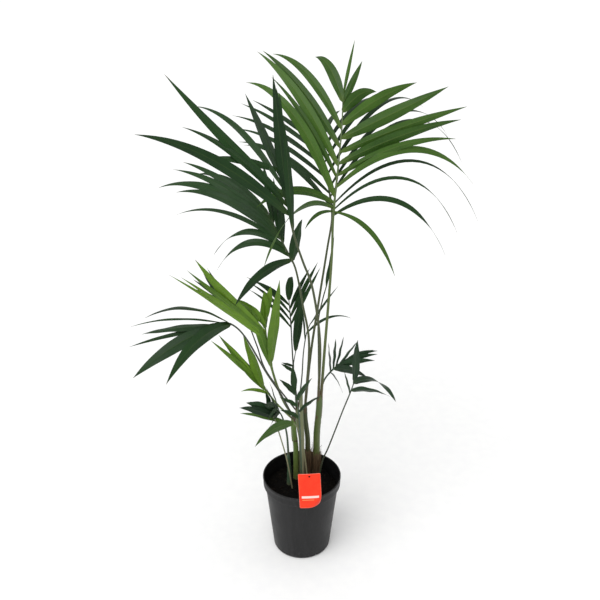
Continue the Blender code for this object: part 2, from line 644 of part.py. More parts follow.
def foot_of(frond):
    """Where a frond's stalk starts: in the soil, or on the end of its stem."""
    if frond["on"] is None:
        return seat_of(frond)
    spot = Vector((*frond["spot"], 0.0))
    if spot.length > 0.0:
        spot.normalize()
    reach = SPOT_REACH * (frond["radii"][0] + GAP)
    return stem_end(frond["on"]) + spot * reach + UP * 2 * GAP


class Stalk:
    """A frond's petiole and midrib as one route, with its section's frame at any share of it."""

    def __init__(self, frond):
        points = [foot_of(frond)]
        for x, y, height in frond["stalk"]:
            points.append(Vector((x, y, SOIL_TOP + height)))
        self.path, self.length = smooth_path(points, STALK_SAMPLES)
        self.blade = frond["blade"]
        self.radii = frond["radii"]
        self.face = Vector(frond["face"])

    def radius(self, share):
        foot, start, tip = self.radii
        if share < self.blade:
            return foot + (start - foot) * share / self.blade
        return start + (tip - start) * (share - self.blade) / (1.0 - self.blade)

    def frame(self, share):
        """The middle, the direction, the upper side and the right-hand side of the stalk there."""
        index = min(int(share * STALK_SAMPLES), STALK_SAMPLES - 1)
        middle = self.path[index].lerp(self.path[index + 1], share * STALK_SAMPLES - index)
        along = self.path[min(index + 2, STALK_SAMPLES)] - self.path[max(index - 1, 0)]
        along.normalize()
        if share == 0.0:
            along = UP.copy()
        upper = (self.face - along * self.face.dot(along)).normalized()
        return middle, along, upper, along.cross(upper)


def leaf_width(share, widest):
    rise = LEAF_NARROW + (1 - LEAF_NARROW) * math.sin(min(share / LEAF_WIDEST, 1.0) * math.pi / 2)
    fall = 1 - max(0.0, (share - LEAF_WIDEST) / (1 - LEAF_WIDEST)) ** LEAF_TAPER
    return max(widest * rise * fall, LEAF_TIP_WIDTH)


def leaf_line(stalk, share, side, leaf):
    """A leaflet's (middle, width way, face way) at its root, inside the stalk, and at each station."""
    angle = math.radians(leaf[1])
    lift = math.radians(leaf[2])
    length, droop = leaf[3:5]
    point, along, upper, right = stalk.frame(share)
    out = right * side * math.cos(lift) + upper * math.sin(lift)
    first = along * math.cos(angle) + out * math.sin(angle)
    across = upper.cross(first).normalized() * side
    across.rotate(Matrix.Rotation(LEAF_ROLL * side, 3, first))
    line = [(point.copy(), across, first.cross(across) * side)]
    before = 0.0
    for station in LEAF_STATIONS:
        for step in range(LEAF_SUBSTEPS):
            part = before + (station - before) * (step + 0.5) / LEAF_SUBSTEPS
            heading = (first - UP * droop * part ** DROOP_RISE).normalized()
            point = point + heading * (length * (station - before) / LEAF_SUBSTEPS)
        heading = (first - UP * droop * station ** DROOP_RISE).normalized()
        wide = (across - heading * across.dot(heading)).normalized()
        line.append((point.copy(), wide, heading.cross(wide) * side))
        before = station
    return line


def pull(bm, face):
    """Extrudes one face on the spot, and gives the new end face."""
    return bmesh.ops.extrude_discrete_faces(bm, faces=[face])["faces"][0]


def place(face, frame, corners):
    """Moves a face's corners to their places across and through a section's frame."""
    for vert, (across, through) in zip(face.verts, corners):
        vert.co = frame[0] + frame[1] * across + frame[2] * through


def crease(bm, old, new):
    """Splits the two broad walls of a leaflet's new length along the same diagonal, so they stay parallel."""
    for near, far, start, end in ((0, 1, 0, 1), (2, 3, 3, 2)):
        wall = [f for f in bm.edges.get((new[near], new[far])).link_faces if old[near] in f.verts][0]
        bmesh.utils.face_split(wall, old[start], new[end])


def new_face(bm, count):
    return bm.faces.new([bm.verts.new() for _ in range(count)])


def grow_leaf(bm, stalk, share, side, leaf):
    """A leaflet as a flat solid, with its root inside the stalk."""
    sizes = [(stalk.radius(share), LEAF_THICKNESS)]
    for station in LEAF_STATIONS:
        sizes.append((leaf_width(station, leaf[5]), LEAF_THICKNESS * (1 - LEAF_THINNING * station)))
    face = new_face(bm, 4)
    for index, (frame, (width, depth)) in enumerate(zip(leaf_line(stalk, share, side, leaf), sizes)):
        old = list(face.verts)
        if index > 0:
            face = pull(bm, face)
        across, through = width / 2, depth / 2
        place(face, frame, [(-across, through), (across, through), (across, -through), (-across, -through)])
        if index > 0:
            crease(bm, old, list(face.verts))


def grow_stalk(bm, stalk, frond):
    """The petiole and midrib as one six-sided solid. One that grows from the soil starts in its socket."""
    stations = [stalk.blade * step / PETIOLE_STATIONS for step in range(PETIOLE_STATIONS)]
    stations += [stalk.blade + (1 - stalk.blade) * step / MIDRIB_STATIONS for step in range(MIDRIB_STATIONS + 1)]
    rings = [(*stalk.frame(share)[::3], stalk.frame(share)[2], stalk.radius(share)) for share in stations]
    if frond["on"] is None:
        middle, right, upper, radius = rings[0]
        rings.insert(0, (middle - UP * SEAT_DEPTH, right, upper, radius))
    face = new_face(bm, SECTION_SIDES)
    for index, (middle, right, upper, radius) in enumerate(rings):
        if index > 0:
            face = pull(bm, face)
        corners = []
        for side in range(SECTION_SIDES):
            turn = math.tau * (side + 0.5) / SECTION_SIDES
            corners.append((radius * math.cos(turn), radius * math.sin(turn)))
        place(face, (middle, right, upper), corners)


def make_frond(name, room):
    frond = FRONDS[name]
    stalk = Stalk(frond)
    bm = bmesh.new()
    grow_stalk(bm, stalk, frond)
    for side, row in ((-1, frond["left"]), (1, frond["right"])):
        for leaf in row:
            grow_leaf(bm, stalk, stalk.blade + (1 - stalk.blade) * leaf[0], side, leaf)
    bmesh.ops.holes_fill(bm, edges=[edge for edge in bm.edges if edge.is_boundary])
    join = mesh_object(name, bm, "leaf").modifiers.new("join_leaflets", "BOOLEAN")
    join.operation = "INTERSECT"
    join.object = room
    join.use_self = True


def main():
    global parts, cutters
    clear_scene()
    parts = new_collection("potted_palm")
    cutters = new_collection("cutters")
    make_pot()
    make_soil()
    make_label()
    for name in STEMS:
        make_stem(name)
    for name in SHEATHS:
        make_sheath(name)
    room = box_cutter("room", ROOM_SIZE, Matrix.Translation((0.0, 0.0, ROOM_SIZE[2] / 4)))
    for name in FRONDS:
        make_frond(name, room)


main()
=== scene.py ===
import math
import random

import bmesh
import bpy
from mathutils import Matrix, Vector, noise


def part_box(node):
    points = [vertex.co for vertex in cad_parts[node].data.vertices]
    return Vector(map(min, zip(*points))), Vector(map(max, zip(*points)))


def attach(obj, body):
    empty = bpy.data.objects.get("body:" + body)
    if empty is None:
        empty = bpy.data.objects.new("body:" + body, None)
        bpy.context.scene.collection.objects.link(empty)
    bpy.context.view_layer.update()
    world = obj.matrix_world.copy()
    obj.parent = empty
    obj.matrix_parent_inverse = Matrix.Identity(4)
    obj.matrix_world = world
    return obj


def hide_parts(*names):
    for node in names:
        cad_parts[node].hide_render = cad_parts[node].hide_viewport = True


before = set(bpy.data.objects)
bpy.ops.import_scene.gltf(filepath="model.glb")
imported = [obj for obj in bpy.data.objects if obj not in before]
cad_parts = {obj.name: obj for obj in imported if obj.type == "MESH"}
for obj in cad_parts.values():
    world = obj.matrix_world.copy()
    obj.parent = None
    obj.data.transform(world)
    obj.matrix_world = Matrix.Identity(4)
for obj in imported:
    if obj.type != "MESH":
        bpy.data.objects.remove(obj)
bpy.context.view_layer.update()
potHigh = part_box("pot")[1]
rimRadius = potHigh.x
potHeight = potHigh.z
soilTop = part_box("soil")[1].z
up = Vector((0, 0, 1))
print("frame loaded, pot %.0f mm wide" % (rimRadius * 2000))


# small helpers for meshes

def pieceFrom(name, bm, finish, nodes=(), sharp=50):
    mesh = bpy.data.meshes.new(name)
    bmesh.ops.recalc_face_normals(bm, faces=bm.faces)
    bm.to_mesh(mesh)
    bm.free()
    mesh.shade_smooth()
    mesh.set_sharp_from_angle(angle=math.radians(sharp))
    piece = bpy.data.objects.new(name, mesh)
    bpy.context.scene.collection.objects.link(piece)
    mesh.materials.append(finish)
    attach(piece, "root")
    if nodes:
        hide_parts(*nodes)
    return piece


def markLayers(bm, names):
    return {name: bm.verts.layers.float.new(name) for name in names}


def ringOf(bm, layers, points, marks):
    ring = []
    for point, values in zip(points, marks):
        vert = bm.verts.new(point)
        for name, value in values.items():
            vert[layers[name]] = value
        ring.append(vert)
    return ring


def bridge(bm, first, second):
    count = len(first)
    for index in range(count):
        follow = (index + 1) % count
        bm.faces.new((first[index], first[follow], second[follow], second[index]))


def easeBetween(low, high, value):
    share = min(max((value - low) / (high - low), 0.0), 1.0)
    return share * share * (3 - 2 * share)


# small helpers for shader nodes

def addNode(tree, kind, sockets=None, **settings):
    node = tree.nodes.new(kind)
    for name, value in settings.items():
        setattr(node, name, value)
    for name, value in (sockets or {}).items():
        node.inputs[name].default_value = value
    return node


def join(tree, outSocket, inSocket):
    tree.links.new(outSocket, inSocket)


def feed(tree, socket, value):
    if isinstance(value, bpy.types.NodeSocket):
        join(tree, value, socket)
    else:
        socket.default_value = value


def sums(tree, operation, first, second=0.0, third=0.0, clamp=False):
    node = addNode(tree, "ShaderNodeMath", operation=operation, use_clamp=clamp)
    for socket, value in zip(node.inputs, (first, second, third)):
        feed(tree, socket, value)
    return node.outputs[0]


def scaled(tree, first, second):
    return sums(tree, "MULTIPLY", first, second)


def remap(tree, value, low, high, toLow=0.0, toHigh=1.0):
    node = addNode(tree, "ShaderNodeMapRange", interpolation_type="SMOOTHSTEP")
    given = {"Value": value, "From Min": low, "From Max": high, "To Min": toLow, "To Max": toHigh}
    for name, amount in given.items():
        feed(tree, node.inputs[name], amount)
    return node.outputs["Result"]


def blendColours(tree, mask, under, over):
    node = addNode(tree, "ShaderNodeMix", data_type="RGBA")
    feed(tree, node.inputs[0], mask)
    feed(tree, node.inputs[6], under)
    feed(tree, node.inputs[7], over)
    return node.outputs[2]


def noiseOf(tree, where, scale, detail=3.0, rough=0.55):
    node = addNode(tree, "ShaderNodeTexNoise", {"Scale": scale, "Detail": detail, "Roughness": rough})
    join(tree, where, node.inputs["Vector"])
    return node.outputs["Fac"]


def stretched(tree, where, scale):
    node = addNode(tree, "ShaderNodeMapping", {"Scale": scale})
    join(tree, where, node.inputs["Vector"])
    return node.outputs["Vector"]


def marked(tree, name):
    return addNode(tree, "ShaderNodeAttribute", attribute_name=name).outputs["Fac"]


def objectPlace(tree):
    return addNode(tree, "ShaderNodeTexCoord").outputs["Object"]


def newGroup(name, inputs, outputs):
    group = bpy.data.node_groups.new(name, "ShaderNodeTree")
    for label, kind, value in inputs:
        socket = group.interface.new_socket(name=label, in_out="INPUT", socket_type="NodeSocket" + kind)
        if value is not None:
            socket.default_value = value
    for label, kind in outputs:
        group.interface.new_socket(name=label, in_out="OUTPUT", socket_type="NodeSocket" + kind)
    return group, addNode(group, "NodeGroupInput").outputs, addNode(group, "NodeGroupOutput").inputs


def useGroup(tree, group, values):
    node = addNode(tree, "ShaderNodeGroup", node_tree=group)
    for name, value in values.items():
        feed(tree, node.inputs[name], value)
    return node.outputs


def newMaterial(name, shaderValues):
    made = bpy.data.materials.new(name)
    made.use_nodes = True
    tree = made.node_tree
    shader = tree.nodes["Principled BSDF"]
    for socket, value in shaderValues.items():
        shader.inputs[socket].default_value = value
    return made, tree, shader


def bumpInto(tree, shader, height, strength, distance):
    bump = addNode(tree, "ShaderNodeBump", {"Strength": strength, "Distance": distance})
    join(tree, height, bump.inputs["Height"])
    join(tree, bump.outputs["Normal"], shader.inputs["Normal"])


# effects that several materials share

def buildVeins():
    group, given, gives = newGroup("parallelVeins", [
        ("Across", "Float", 0.0), ("Along", "Float", 0.0), ("Count", "Float", 9.0), ("Waver", "Float", 0.4),
        ("Midrib Width", "Float", 0.12),
    ], [("Veins", "Float"), ("Midrib", "Float"), ("Margin", "Float"), ("Height", "Float")])
    where = addNode(group, "ShaderNodeCombineXYZ")
    join(group, given["Along"], where.inputs["X"])
    join(group, given["Across"], where.inputs["Y"])
    spread = stretched(group, where.outputs[0], (5, 1.5, 1))
    drift = sums(group, "SUBTRACT", noiseOf(group, spread, 2.0, 2.0), 0.5)
    shifted = sums(group, "MULTIPLY_ADD", drift, given["Waver"], given["Across"])
    turns = scaled(group, shifted, given["Count"])
    wave = sums(group, "SINE", scaled(group, turns, math.pi))
    veins = remap(group, wave, 0.35, 1.0)
    span = sums(group, "ABSOLUTE", given["Across"])
    midrib = sums(group, "SUBTRACT", 1.0, remap(group, span, 0.0, given["Midrib Width"]))
    margin = remap(group, span, 0.86, 1.0)
    height = sums(group, "MULTIPLY_ADD", veins, 0.35, scaled(group, midrib, 0.9))
    join(group, veins, gives["Veins"])
    join(group, midrib, gives["Midrib"])
    join(group, margin, gives["Margin"])
    join(group, height, gives["Height"])
    return group


def buildMottle():
    group, given, gives = newGroup("mottle", [
        ("Vector", "Vector", None), ("Scale", "Float", 30.0), ("Contrast", "Float", 0.5),
    ], [("Mask", "Float")])
    soft = noiseOf(group, given["Vector"], 1.0)
    join(group, given["Scale"], soft.node.inputs["Scale"])
    low = sums(group, "MULTIPLY_ADD", given["Contrast"], -0.3, 0.5)
    high = sums(group, "MULTIPLY_ADD", given["Contrast"], 0.3, 0.5)
    join(group, remap(group, soft, low, high), gives["Mask"])
    return group


def buildDust():
    group, given, gives = newGroup("dustFilm", [
        ("Vector", "Vector", None), ("Amount", "Float", 0.3), ("Scale", "Float", 60.0),
    ], [("Mask", "Float")])
    facing = addNode(group, "ShaderNodeSeparateXYZ")
    join(group, addNode(group, "ShaderNodeNewGeometry").outputs["Normal"], facing.inputs[0])
    settled = remap(group, facing.outputs["Z"], 0.1, 0.9)
    patches = noiseOf(group, given["Vector"], 1.0, 4.0)
    join(group, given["Scale"], patches.node.inputs["Scale"])
    film = scaled(group, settled, remap(group, patches, 0.35, 0.75))
    join(group, scaled(group, film, given["Amount"]), gives["Mask"])
    return group


def buildFibres():
    group, given, gives = newGroup("fibreStreaks", [
        ("Vector", "Vector", None), ("Fineness", "Float", 400.0), ("Stretch", "Float", 0.05),
    ], [("Mask", "Float"), ("Height", "Float")])
    squeeze = addNode(group, "ShaderNodeCombineXYZ", {"X": 1.0, "Y": 1.0})
    join(group, given["Stretch"], squeeze.inputs["Z"])
    narrowed = addNode(group, "ShaderNodeVectorMath", operation="MULTIPLY")
    join(group, given["Vector"], narrowed.inputs[0])
    join(group, squeeze.outputs[0], narrowed.inputs[1])
    streaks = noiseOf(group, narrowed.outputs[0], 1.0, 3.0, 0.6)
    join(group, given["Fineness"], streaks.node.inputs["Scale"])
    join(group, remap(group, streaks, 0.35, 0.68), gives["Mask"])
    join(group, streaks, gives["Height"])
    return group


veinGroup = buildVeins()
mottleGroup = buildMottle()
dustGroup = buildDust()
fibreGroup = buildFibres()
print("shared effects built")


# leaves

leafShape = {
    "steps": 26, "narrow": 0.34, "widest": 0.40, "taper": 1.75, "tip": 0.0004, "rib": 0.0007,
    "blade": 0.00045, "margin": 0.00012, "fold": 11, "roll": 20, "droopRise": 1.3, "twist": 14,
    "ripple": 0.0007, "rippleWaves": 17, "fullRipple": 0.008, "tipCurl": 0.35,
}
leafSection = (-1.0, -0.72, -0.38, -0.1, 0.0, 0.1, 0.38, 0.72, 1.0)


def leafMaterial(name, looks):
    made, tree, shader = newMaterial(name, {
        "Roughness": 0.4, "Specular IOR Level": looks.get("gloss", 0.2), "Coat Roughness": 0.28})
    along, across, tone = marked(tree, "along"), marked(tree, "across"), marked(tree, "tone")
    place = objectPlace(tree)
    lines = useGroup(tree, veinGroup, {
        "Across": across, "Along": along, "Count": 9.0, "Waver": 0.25, "Midrib Width": 0.11})
    cloud = useGroup(tree, mottleGroup, {"Vector": place, "Scale": 26.0, "Contrast": 0.9})["Mask"]
    fine = useGroup(tree, mottleGroup, {"Vector": place, "Scale": 240.0, "Contrast": 0.6})["Mask"]
    mixTone = sums(tree, "MULTIPLY_ADD", cloud, 0.35, scaled(tree, tone, 0.75), clamp=True)
    colour = blendColours(tree, mixTone, looks["deep"], looks["light"])
    colour = blendColours(tree, scaled(tree, lines["Veins"], 0.30), colour, looks["vein"])
    colour = blendColours(tree, scaled(tree, fine, 0.16), colour, looks["light"])
    colour = blendColours(tree, scaled(tree, lines["Midrib"], 0.55), colour, looks["rib"])
    rootPale = scaled(tree, remap(tree, along, 0.16, 0.0), 0.6)
    colour = blendColours(tree, rootPale, colour, looks["rib"])
    colour = blendColours(tree, scaled(tree, lines["Margin"], 0.35), colour, looks["edge"])
    under = marked(tree, "under")
    colour = blendColours(tree, scaled(tree, under, 0.45), colour, looks["under"])
    tipDry = scaled(tree, remap(tree, along, 0.955, 1.0), remap(tree, tone, 0.35, 0.9))
    colour = blendColours(tree, tipDry, colour, (0.10, 0.075, 0.03, 1.0))
    dust = useGroup(tree, dustGroup, {
        "Vector": place, "Amount": looks.get("dust", 0.05), "Scale": 34.0})["Mask"]
    colour = blendColours(tree, dust, colour, (0.16, 0.19, 0.14, 1.0))
    join(tree, colour, shader.inputs["Base Color"])
    join(tree, remap(tree, sums(tree, "ADD", cloud, dust), 0.0, 1.2, 0.34, 0.52), shader.inputs["Roughness"])
    join(tree, remap(tree, lines["Margin"], 0.0, 1.0, 0.03, 0.01), shader.inputs["Coat Weight"])
    ridges = sums(tree, "MULTIPLY_ADD", fine, 0.12, lines["Height"])
    bumpInto(tree, shader, ridges, 0.55, 0.0006)
    return made


leafLooks = {
    "midGreen": {
        "deep": (0.014, 0.049, 0.004, 1), "light": (0.053, 0.124, 0.012, 1),
        "vein": (0.011, 0.043, 0.004, 1),
        "rib": (0.084, 0.132, 0.019, 1), "edge": (0.012, 0.036, 0.004, 1), "under": (0.051, 0.09, 0.017, 1),
    },
    "darkGreen": {
        "deep": (0.003, 0.016, 0.004, 1), "light": (0.015, 0.051, 0.01, 1),
        "vein": (0.002, 0.014, 0.003, 1),
        "rib": (0.03, 0.06, 0.011, 1), "edge": (0.002, 0.011, 0.003, 1), "under": (0.018, 0.045, 0.013, 1),
        "gloss": 0.16, "dust": 0.03,
    },
    "brightGreen": {
        "deep": (0.048, 0.117, 0.007, 1), "light": (0.134, 0.262, 0.017, 1),
        "vein": (0.04, 0.105, 0.006, 1),
        "rib": (0.15, 0.24, 0.028, 1), "edge": (0.04, 0.08, 0.009, 1), "under": (0.11, 0.2, 0.028, 1),
        "dust": 0.04,
    },
    "blueGreen": {
        "deep": (0.005, 0.019, 0.007, 1), "light": (0.018, 0.051, 0.018, 1),
        "vein": (0.004, 0.017, 0.007, 1),
        "rib": (0.03, 0.06, 0.019, 1), "edge": (0.004, 0.012, 0.005, 1), "under": (0.018, 0.045, 0.019, 1),
        "dust": 0.05,
    },
}
leafFinish = {name: leafMaterial("leaf_" + name, looks) for name, looks in leafLooks.items()}


# stalks and stems

def stalkMaterial(name, looks):
    made, tree, shader = newMaterial(name, {
        "Roughness": 0.45, "Specular IOR Level": 0.4, "Coat Roughness": 0.3})
    along, tone = marked(tree, "along"), marked(tree, "tone")
    place = objectPlace(tree)
    streaks = useGroup(tree, fibreGroup, {"Vector": place, "Fineness": 520.0, "Stretch": 0.06})
    patches = useGroup(tree, mottleGroup, {"Vector": place, "Scale": 38.0, "Contrast": 0.8})["Mask"]
    colour = blendColours(tree, remap(tree, along, 0.0, 1.0), looks["foot"], looks["top"])
    colour = blendColours(tree, scaled(tree, streaks["Mask"], 0.4), colour, looks["streak"])
    colour = blendColours(tree, scaled(tree, patches, 0.3), colour, looks["patch"])
    dry = scaled(tree, remap(tree, along, 0.12, 0.0), remap(tree, patches, 0.0, 0.6, 0.5, 1.0))
    colour = blendColours(tree, scaled(tree, dry, looks.get("dry", 0.8)), colour, (0.085, 0.052, 0.026, 1.0))
    hairs = noiseOf(tree, stretched(tree, place, (1, 1, 0.4)), 900.0, 2.0)
    specks = scaled(tree, remap(tree, hairs, 0.66, 0.74), 0.5)
    colour = blendColours(tree, specks, colour, (0.20, 0.19, 0.12, 1.0))
    join(tree, colour, shader.inputs["Base Color"])
    join(tree, remap(tree, streaks["Mask"], 0.0, 1.0, 0.36, 0.55), shader.inputs["Roughness"])
    join(tree, remap(tree, dry, 0.0, 0.6, 0.15, 0.0), shader.inputs["Coat Weight"])
    bumpInto(tree, shader, sums(tree, "MULTIPLY_ADD", tone, 0.05, streaks["Height"]), 0.35, 0.0006)
    return made


stalkLooks = {
    "greenStalk": {
        "foot": (0.098, 0.13, 0.033, 1), "top": (0.055, 0.104, 0.019, 1),
        "streak": (0.039, 0.078, 0.013, 1),
        "patch": (0.111, 0.123, 0.039, 1),
    },
    "oliveStalk": {
        "foot": (0.065, 0.078, 0.026, 1), "top": (0.033, 0.055, 0.014, 1),
        "streak": (0.023, 0.039, 0.01, 1),
        "patch": (0.065, 0.065, 0.026, 1),
    },
    "brightStalk": {
        "foot": (0.13, 0.175, 0.045, 1), "top": (0.085, 0.163, 0.023, 1), "streak": (0.065, 0.13, 0.019, 1),
        "patch": (0.13, 0.169, 0.045, 1), "dry": 0.5,
    },
    "darkStalk": {
        "foot": (0.036, 0.042, 0.023, 1), "top": (0.014, 0.031, 0.013, 1),
        "streak": (0.01, 0.023, 0.009, 1),
        "patch": (0.033, 0.036, 0.019, 1),
    },
    "paleStalk": {
        "foot": (0.221, 0.214, 0.13, 1), "top": (0.13, 0.169, 0.065, 1), "streak": (0.143, 0.156, 0.065, 1),
        "patch": (0.247, 0.234, 0.156, 1), "dry": 0.3,
    },
    "blueStalk": {
        "foot": (0.049, 0.085, 0.049, 1), "top": (0.026, 0.065, 0.029, 1),
        "streak": (0.019, 0.049, 0.023, 1),
        "patch": (0.059, 0.091, 0.052, 1), "dry": 0.4,
    },
}
stalkFinish = {name: stalkMaterial("stalk_" + name, looks) for name, looks in stalkLooks.items()}
print("leaf and stalk finishes built")


def leafWidth(share, widest):
    shape = leafShape
    rise = shape["narrow"] + (1 - shape["narrow"]) * math.sin(min(share / shape["widest"], 1.0) * math.pi / 2)
    fall = 1 - max(0.0, (share - shape["widest"]) / (1 - shape["widest"])) ** shape["taper"]
    return max(widest * rise * fall, shape["tip"])


def leafletLine(route, share, side, leaf, looks):
    # a point, the width way and the face way at each step along one leaflet
    angle, lift = math.radians(leaf[1]), math.radians(leaf[2])
    length, droop = leaf[3], leaf[4]
    point, along, upper, right = route.frameAt(share)
    out = right * side * math.cos(lift) + upper * math.sin(lift)
    first = along * math.cos(angle) + out * math.sin(angle)
    across = upper.cross(first).normalized() * side
    across.rotate(Matrix.Rotation(math.radians(leafShape["roll"]) * side, 3, first))
    line = []
    steps = leafShape["steps"]
    for step in range(steps + 1):
        t = step / steps
        heading = (first - up * droop * t ** leafShape["droopRise"]).normalized()
        heading = (heading - up * looks["tipCurl"] * easeBetween(0.8, 1.15, t)).normalized()
        wide = (across - heading * across.dot(heading)).normalized()
        wide.rotate(Matrix.Rotation(looks["twist"] * t * side, 3, heading))
        line.append((point.copy(), wide, heading.cross(wide) * side))
        half = (step + 0.5) / steps
        middle = (first - up * droop * half ** leafShape["droopRise"]).normalized()
        point = point + middle * (length / steps)
    return line


def growLeaflet(bm, layers, route, share, side, leaf, draw):
    looks = {
        "twist": math.radians(draw.uniform(-1, 1) * leafShape["twist"]),
        "tipCurl": draw.uniform(0.0, 1.0) * leafShape["tipCurl"],
        "tone": draw.random(),
        "phase": draw.uniform(0, math.tau),
        "fold": math.radians(leafShape["fold"] * draw.uniform(0.6, 1.3)),
    }
    steps = leafShape["steps"]
    before = None
    for step, (middle, wide, face) in enumerate(leafletLine(route, share, side, leaf, looks)):
        t = step / steps
        half = leafWidth(t, leaf[5]) / 2
        slim = 1 - 0.6 * t
        fold = looks["fold"] * (1 - 0.55 * t) * easeBetween(0.0, 0.12, t)
        if step == 0:
            half = min(half, route.radiusAt(share))
        topSide, underSide = [], []
        for across in leafSection:
            span = abs(across)
            wave = math.sin(looks["phase"] + t * leafShape["rippleWaves"] + across * 2.2)
            ripple = leafShape["ripple"] * span ** 2 * wave * min(1, half / leafShape["fullRipple"])
            drop = -span * half * math.sin(fold) + ripple
            place = middle + wide * across * half * math.cos(fold) + face * drop
            thick = leafShape["blade"] + (leafShape["rib"] if across == 0 else 0.0)
            thick = (thick * (1 - span) + leafShape["margin"] * span) * slim
            values = {"along": t, "across": across, "tone": looks["tone"]}
            topSide.append((place + face * thick * 0.3, {**values, "under": 0.0}))
            if span < 1.0:
                underSide.append((place - face * thick * 0.7, {**values, "under": 1.0}))
        loop = topSide + underSide[::-1]
        ring = ringOf(bm, layers, [point for point, _ in loop], [values for _, values in loop])
        if before:
            bridge(bm, before, ring)
        else:
            bm.faces.new(ring[::-1])
        before = ring
    bm.faces.new(before)


# stalks: one smooth route for the petiole and the midrib

def smoothRoute(points, count):
    ends = [points[0] * 2 - points[1], *points, points[-1] * 2 - points[-2]]
    fine = []
    for a, b, c, d in zip(ends, ends[1:], ends[2:], ends[3:]):
        for step in range(12):
            t = step / 12
            bend = (a * 2 - b * 5 + c * 4 - d) * t * t + (b * 3 - a - c * 3 + d) * t ** 3
            fine.append((b * 2 + (c - a) * t + bend) / 2)
    fine.append(points[-1])
    lengths = [0.0]
    for a, b in zip(fine, fine[1:]):
        lengths.append(lengths[-1] + (b - a).length)
    even = []
    index = 0
    for step in range(count + 1):
        reach = lengths[-1] * step / count
        while index < len(fine) - 2 and lengths[index + 1] < reach:
            index += 1
        t = (reach - lengths[index]) / (lengths[index + 1] - lengths[index])
        even.append(fine[index].lerp(fine[index + 1], t))
    return even, lengths[-1]


class StalkRoute:
    samples = 120

    def __init__(self, frond, foot):
        points = [foot] + [Vector((x, y, soilTop + height)) for x, y, height in frond["stalk"]]
        self.path, self.length = smoothRoute(points, self.samples)
        self.blade, self.radii, self.face = frond["blade"], frond["radii"], Vector(frond["face"])

    def radiusAt(self, share):
        foot, start, tip = self.radii
        if share < self.blade:
            return foot + (start - foot) * share / self.blade
        return start + (tip - start) * (share - self.blade) / (1.0 - self.blade)

    def frameAt(self, share):
        index = min(int(share * self.samples), self.samples - 1)
        middle = self.path[index].lerp(self.path[index + 1], share * self.samples - index)
        along = self.path[min(index + 2, self.samples)] - self.path[max(index - 1, 0)]
        along.normalize()
        if share == 0.0:
            along = up.copy()
        upper = (self.face - along * self.face.dot(along)).normalized()
        return middle, along, upper, along.cross(upper)


# stems

stemShape = {
    "sides": 20, "steps": 40, "straight": 0.45, "sunk": 0.030, "ringEvery": 0.034, "ringProud": 0.0004,
    "domeFrom": 0.90,
}
stems = {
    "stem_right": {
        "seat": (0.040, 0.050), "top": (0.046, 0.046, 0.262),
        "radii": (0.0095, 0.0080), "finish": "greenStalk",
    },
    "stem_middle": {
        "seat": (0.016, 0.045), "top": (0.008, 0.045, 0.232),
        "radii": (0.0075, 0.0065), "finish": "oliveStalk",
    },
    "stem_left": {
        "seat": (-0.016, 0.030), "top": (-0.022, 0.020, 0.202),
        "radii": (0.0070, 0.0075), "finish": "brightStalk",
    },
    "stem_inner": {
        "seat": (-0.003, 0.044), "top": (-0.012, 0.050, 0.215),
        "radii": (0.0045, 0.0045), "finish": "paleStalk",
    },
    "stem_back": {
        "seat": (-0.001, 0.068), "top": (-0.010, 0.066, 0.192),
        "radii": (0.0055, 0.0060), "finish": "blueStalk",
    },
    "stem_old": {
        "seat": (0.002, 0.018), "top": (-0.002, 0.022, 0.288),
        "radii": (0.0050, 0.0045), "finish": "paleStalk",
    },
    "stem_small": {
        "seat": (-0.034, 0.006), "top": (-0.036, 0.004, 0.100),
        "radii": (0.0070, 0.0045), "finish": "blueStalk",
    },
}


def stemEnd(name):
    x, y, height = stems[name]["top"]
    return Vector((x, y, soilTop + height))


def stemPoint(name, share):
    foot = Vector((*stems[name]["seat"], soilTop))
    end = stemEnd(name)
    point = foot.lerp(end, easeBetween(stemShape["straight"], 0.9, share))
    point.z = foot.z + (end.z - foot.z) * share
    return point


def makeStem(name):
    stem = stems[name]
    shape = stemShape
    draw = random.Random(name)
    lean = draw.uniform(0, math.tau)
    low, high = stem["radii"]
    height = stem["top"][2]
    bm = bmesh.new()
    layers = markLayers(bm, ("along", "tone"))
    before = None
    for step in range(-3, shape["steps"] + 1):
        share = max(step, 0) / shape["steps"]
        middle = stemPoint(name, share)
        middle.z += min(step, 0) * shape["sunk"] / 3
        radius = low + (high - low) * share
        rise = share * height / shape["ringEvery"]
        radius += shape["ringProud"] * max(0.0, math.cos(math.tau * rise)) ** 12
        radius *= 1 + 0.10 * easeBetween(0.25, 0.0, share)
        dome = (share - shape["domeFrom"]) / (1 - shape["domeFrom"])
        if dome > 0:
            radius *= math.sqrt(max(1 - dome ** 2, 0.0)) * 0.65 + 0.35
        points = []
        for side in range(shape["sides"]):
            turn = math.tau * side / shape["sides"]
            out = radius * (1 + 0.05 * math.cos(2 * (turn - lean)) + 0.012 * math.sin(5 * turn + rise * 2))
            points.append(middle + Vector((math.cos(turn), math.sin(turn), 0)) * out)
        ring = ringOf(bm, layers, points, [{"along": share, "tone": 0.5}] * len(points))
        if before:
            bridge(bm, before, ring)
        else:
            bm.faces.new(ring[::-1])
        before = ring
    bm.faces.new(before)
    return pieceFrom(name + "_culm", bm, stalkFinish[stem["finish"]], [name])


for stemName in stems:
    makeStem(stemName)
print("%d stems grown" % len(stems))


# fronds

stalkShape = {
    "sides": 14, "steps": 46, "channel": 0.22, "swell": 0.25, "claspLength": 0.075, "claspSteps": 12,
    "seatReach": 1.2, "gap": 0.0003, "sunk": 0.028, "footWide": 1.15,
}


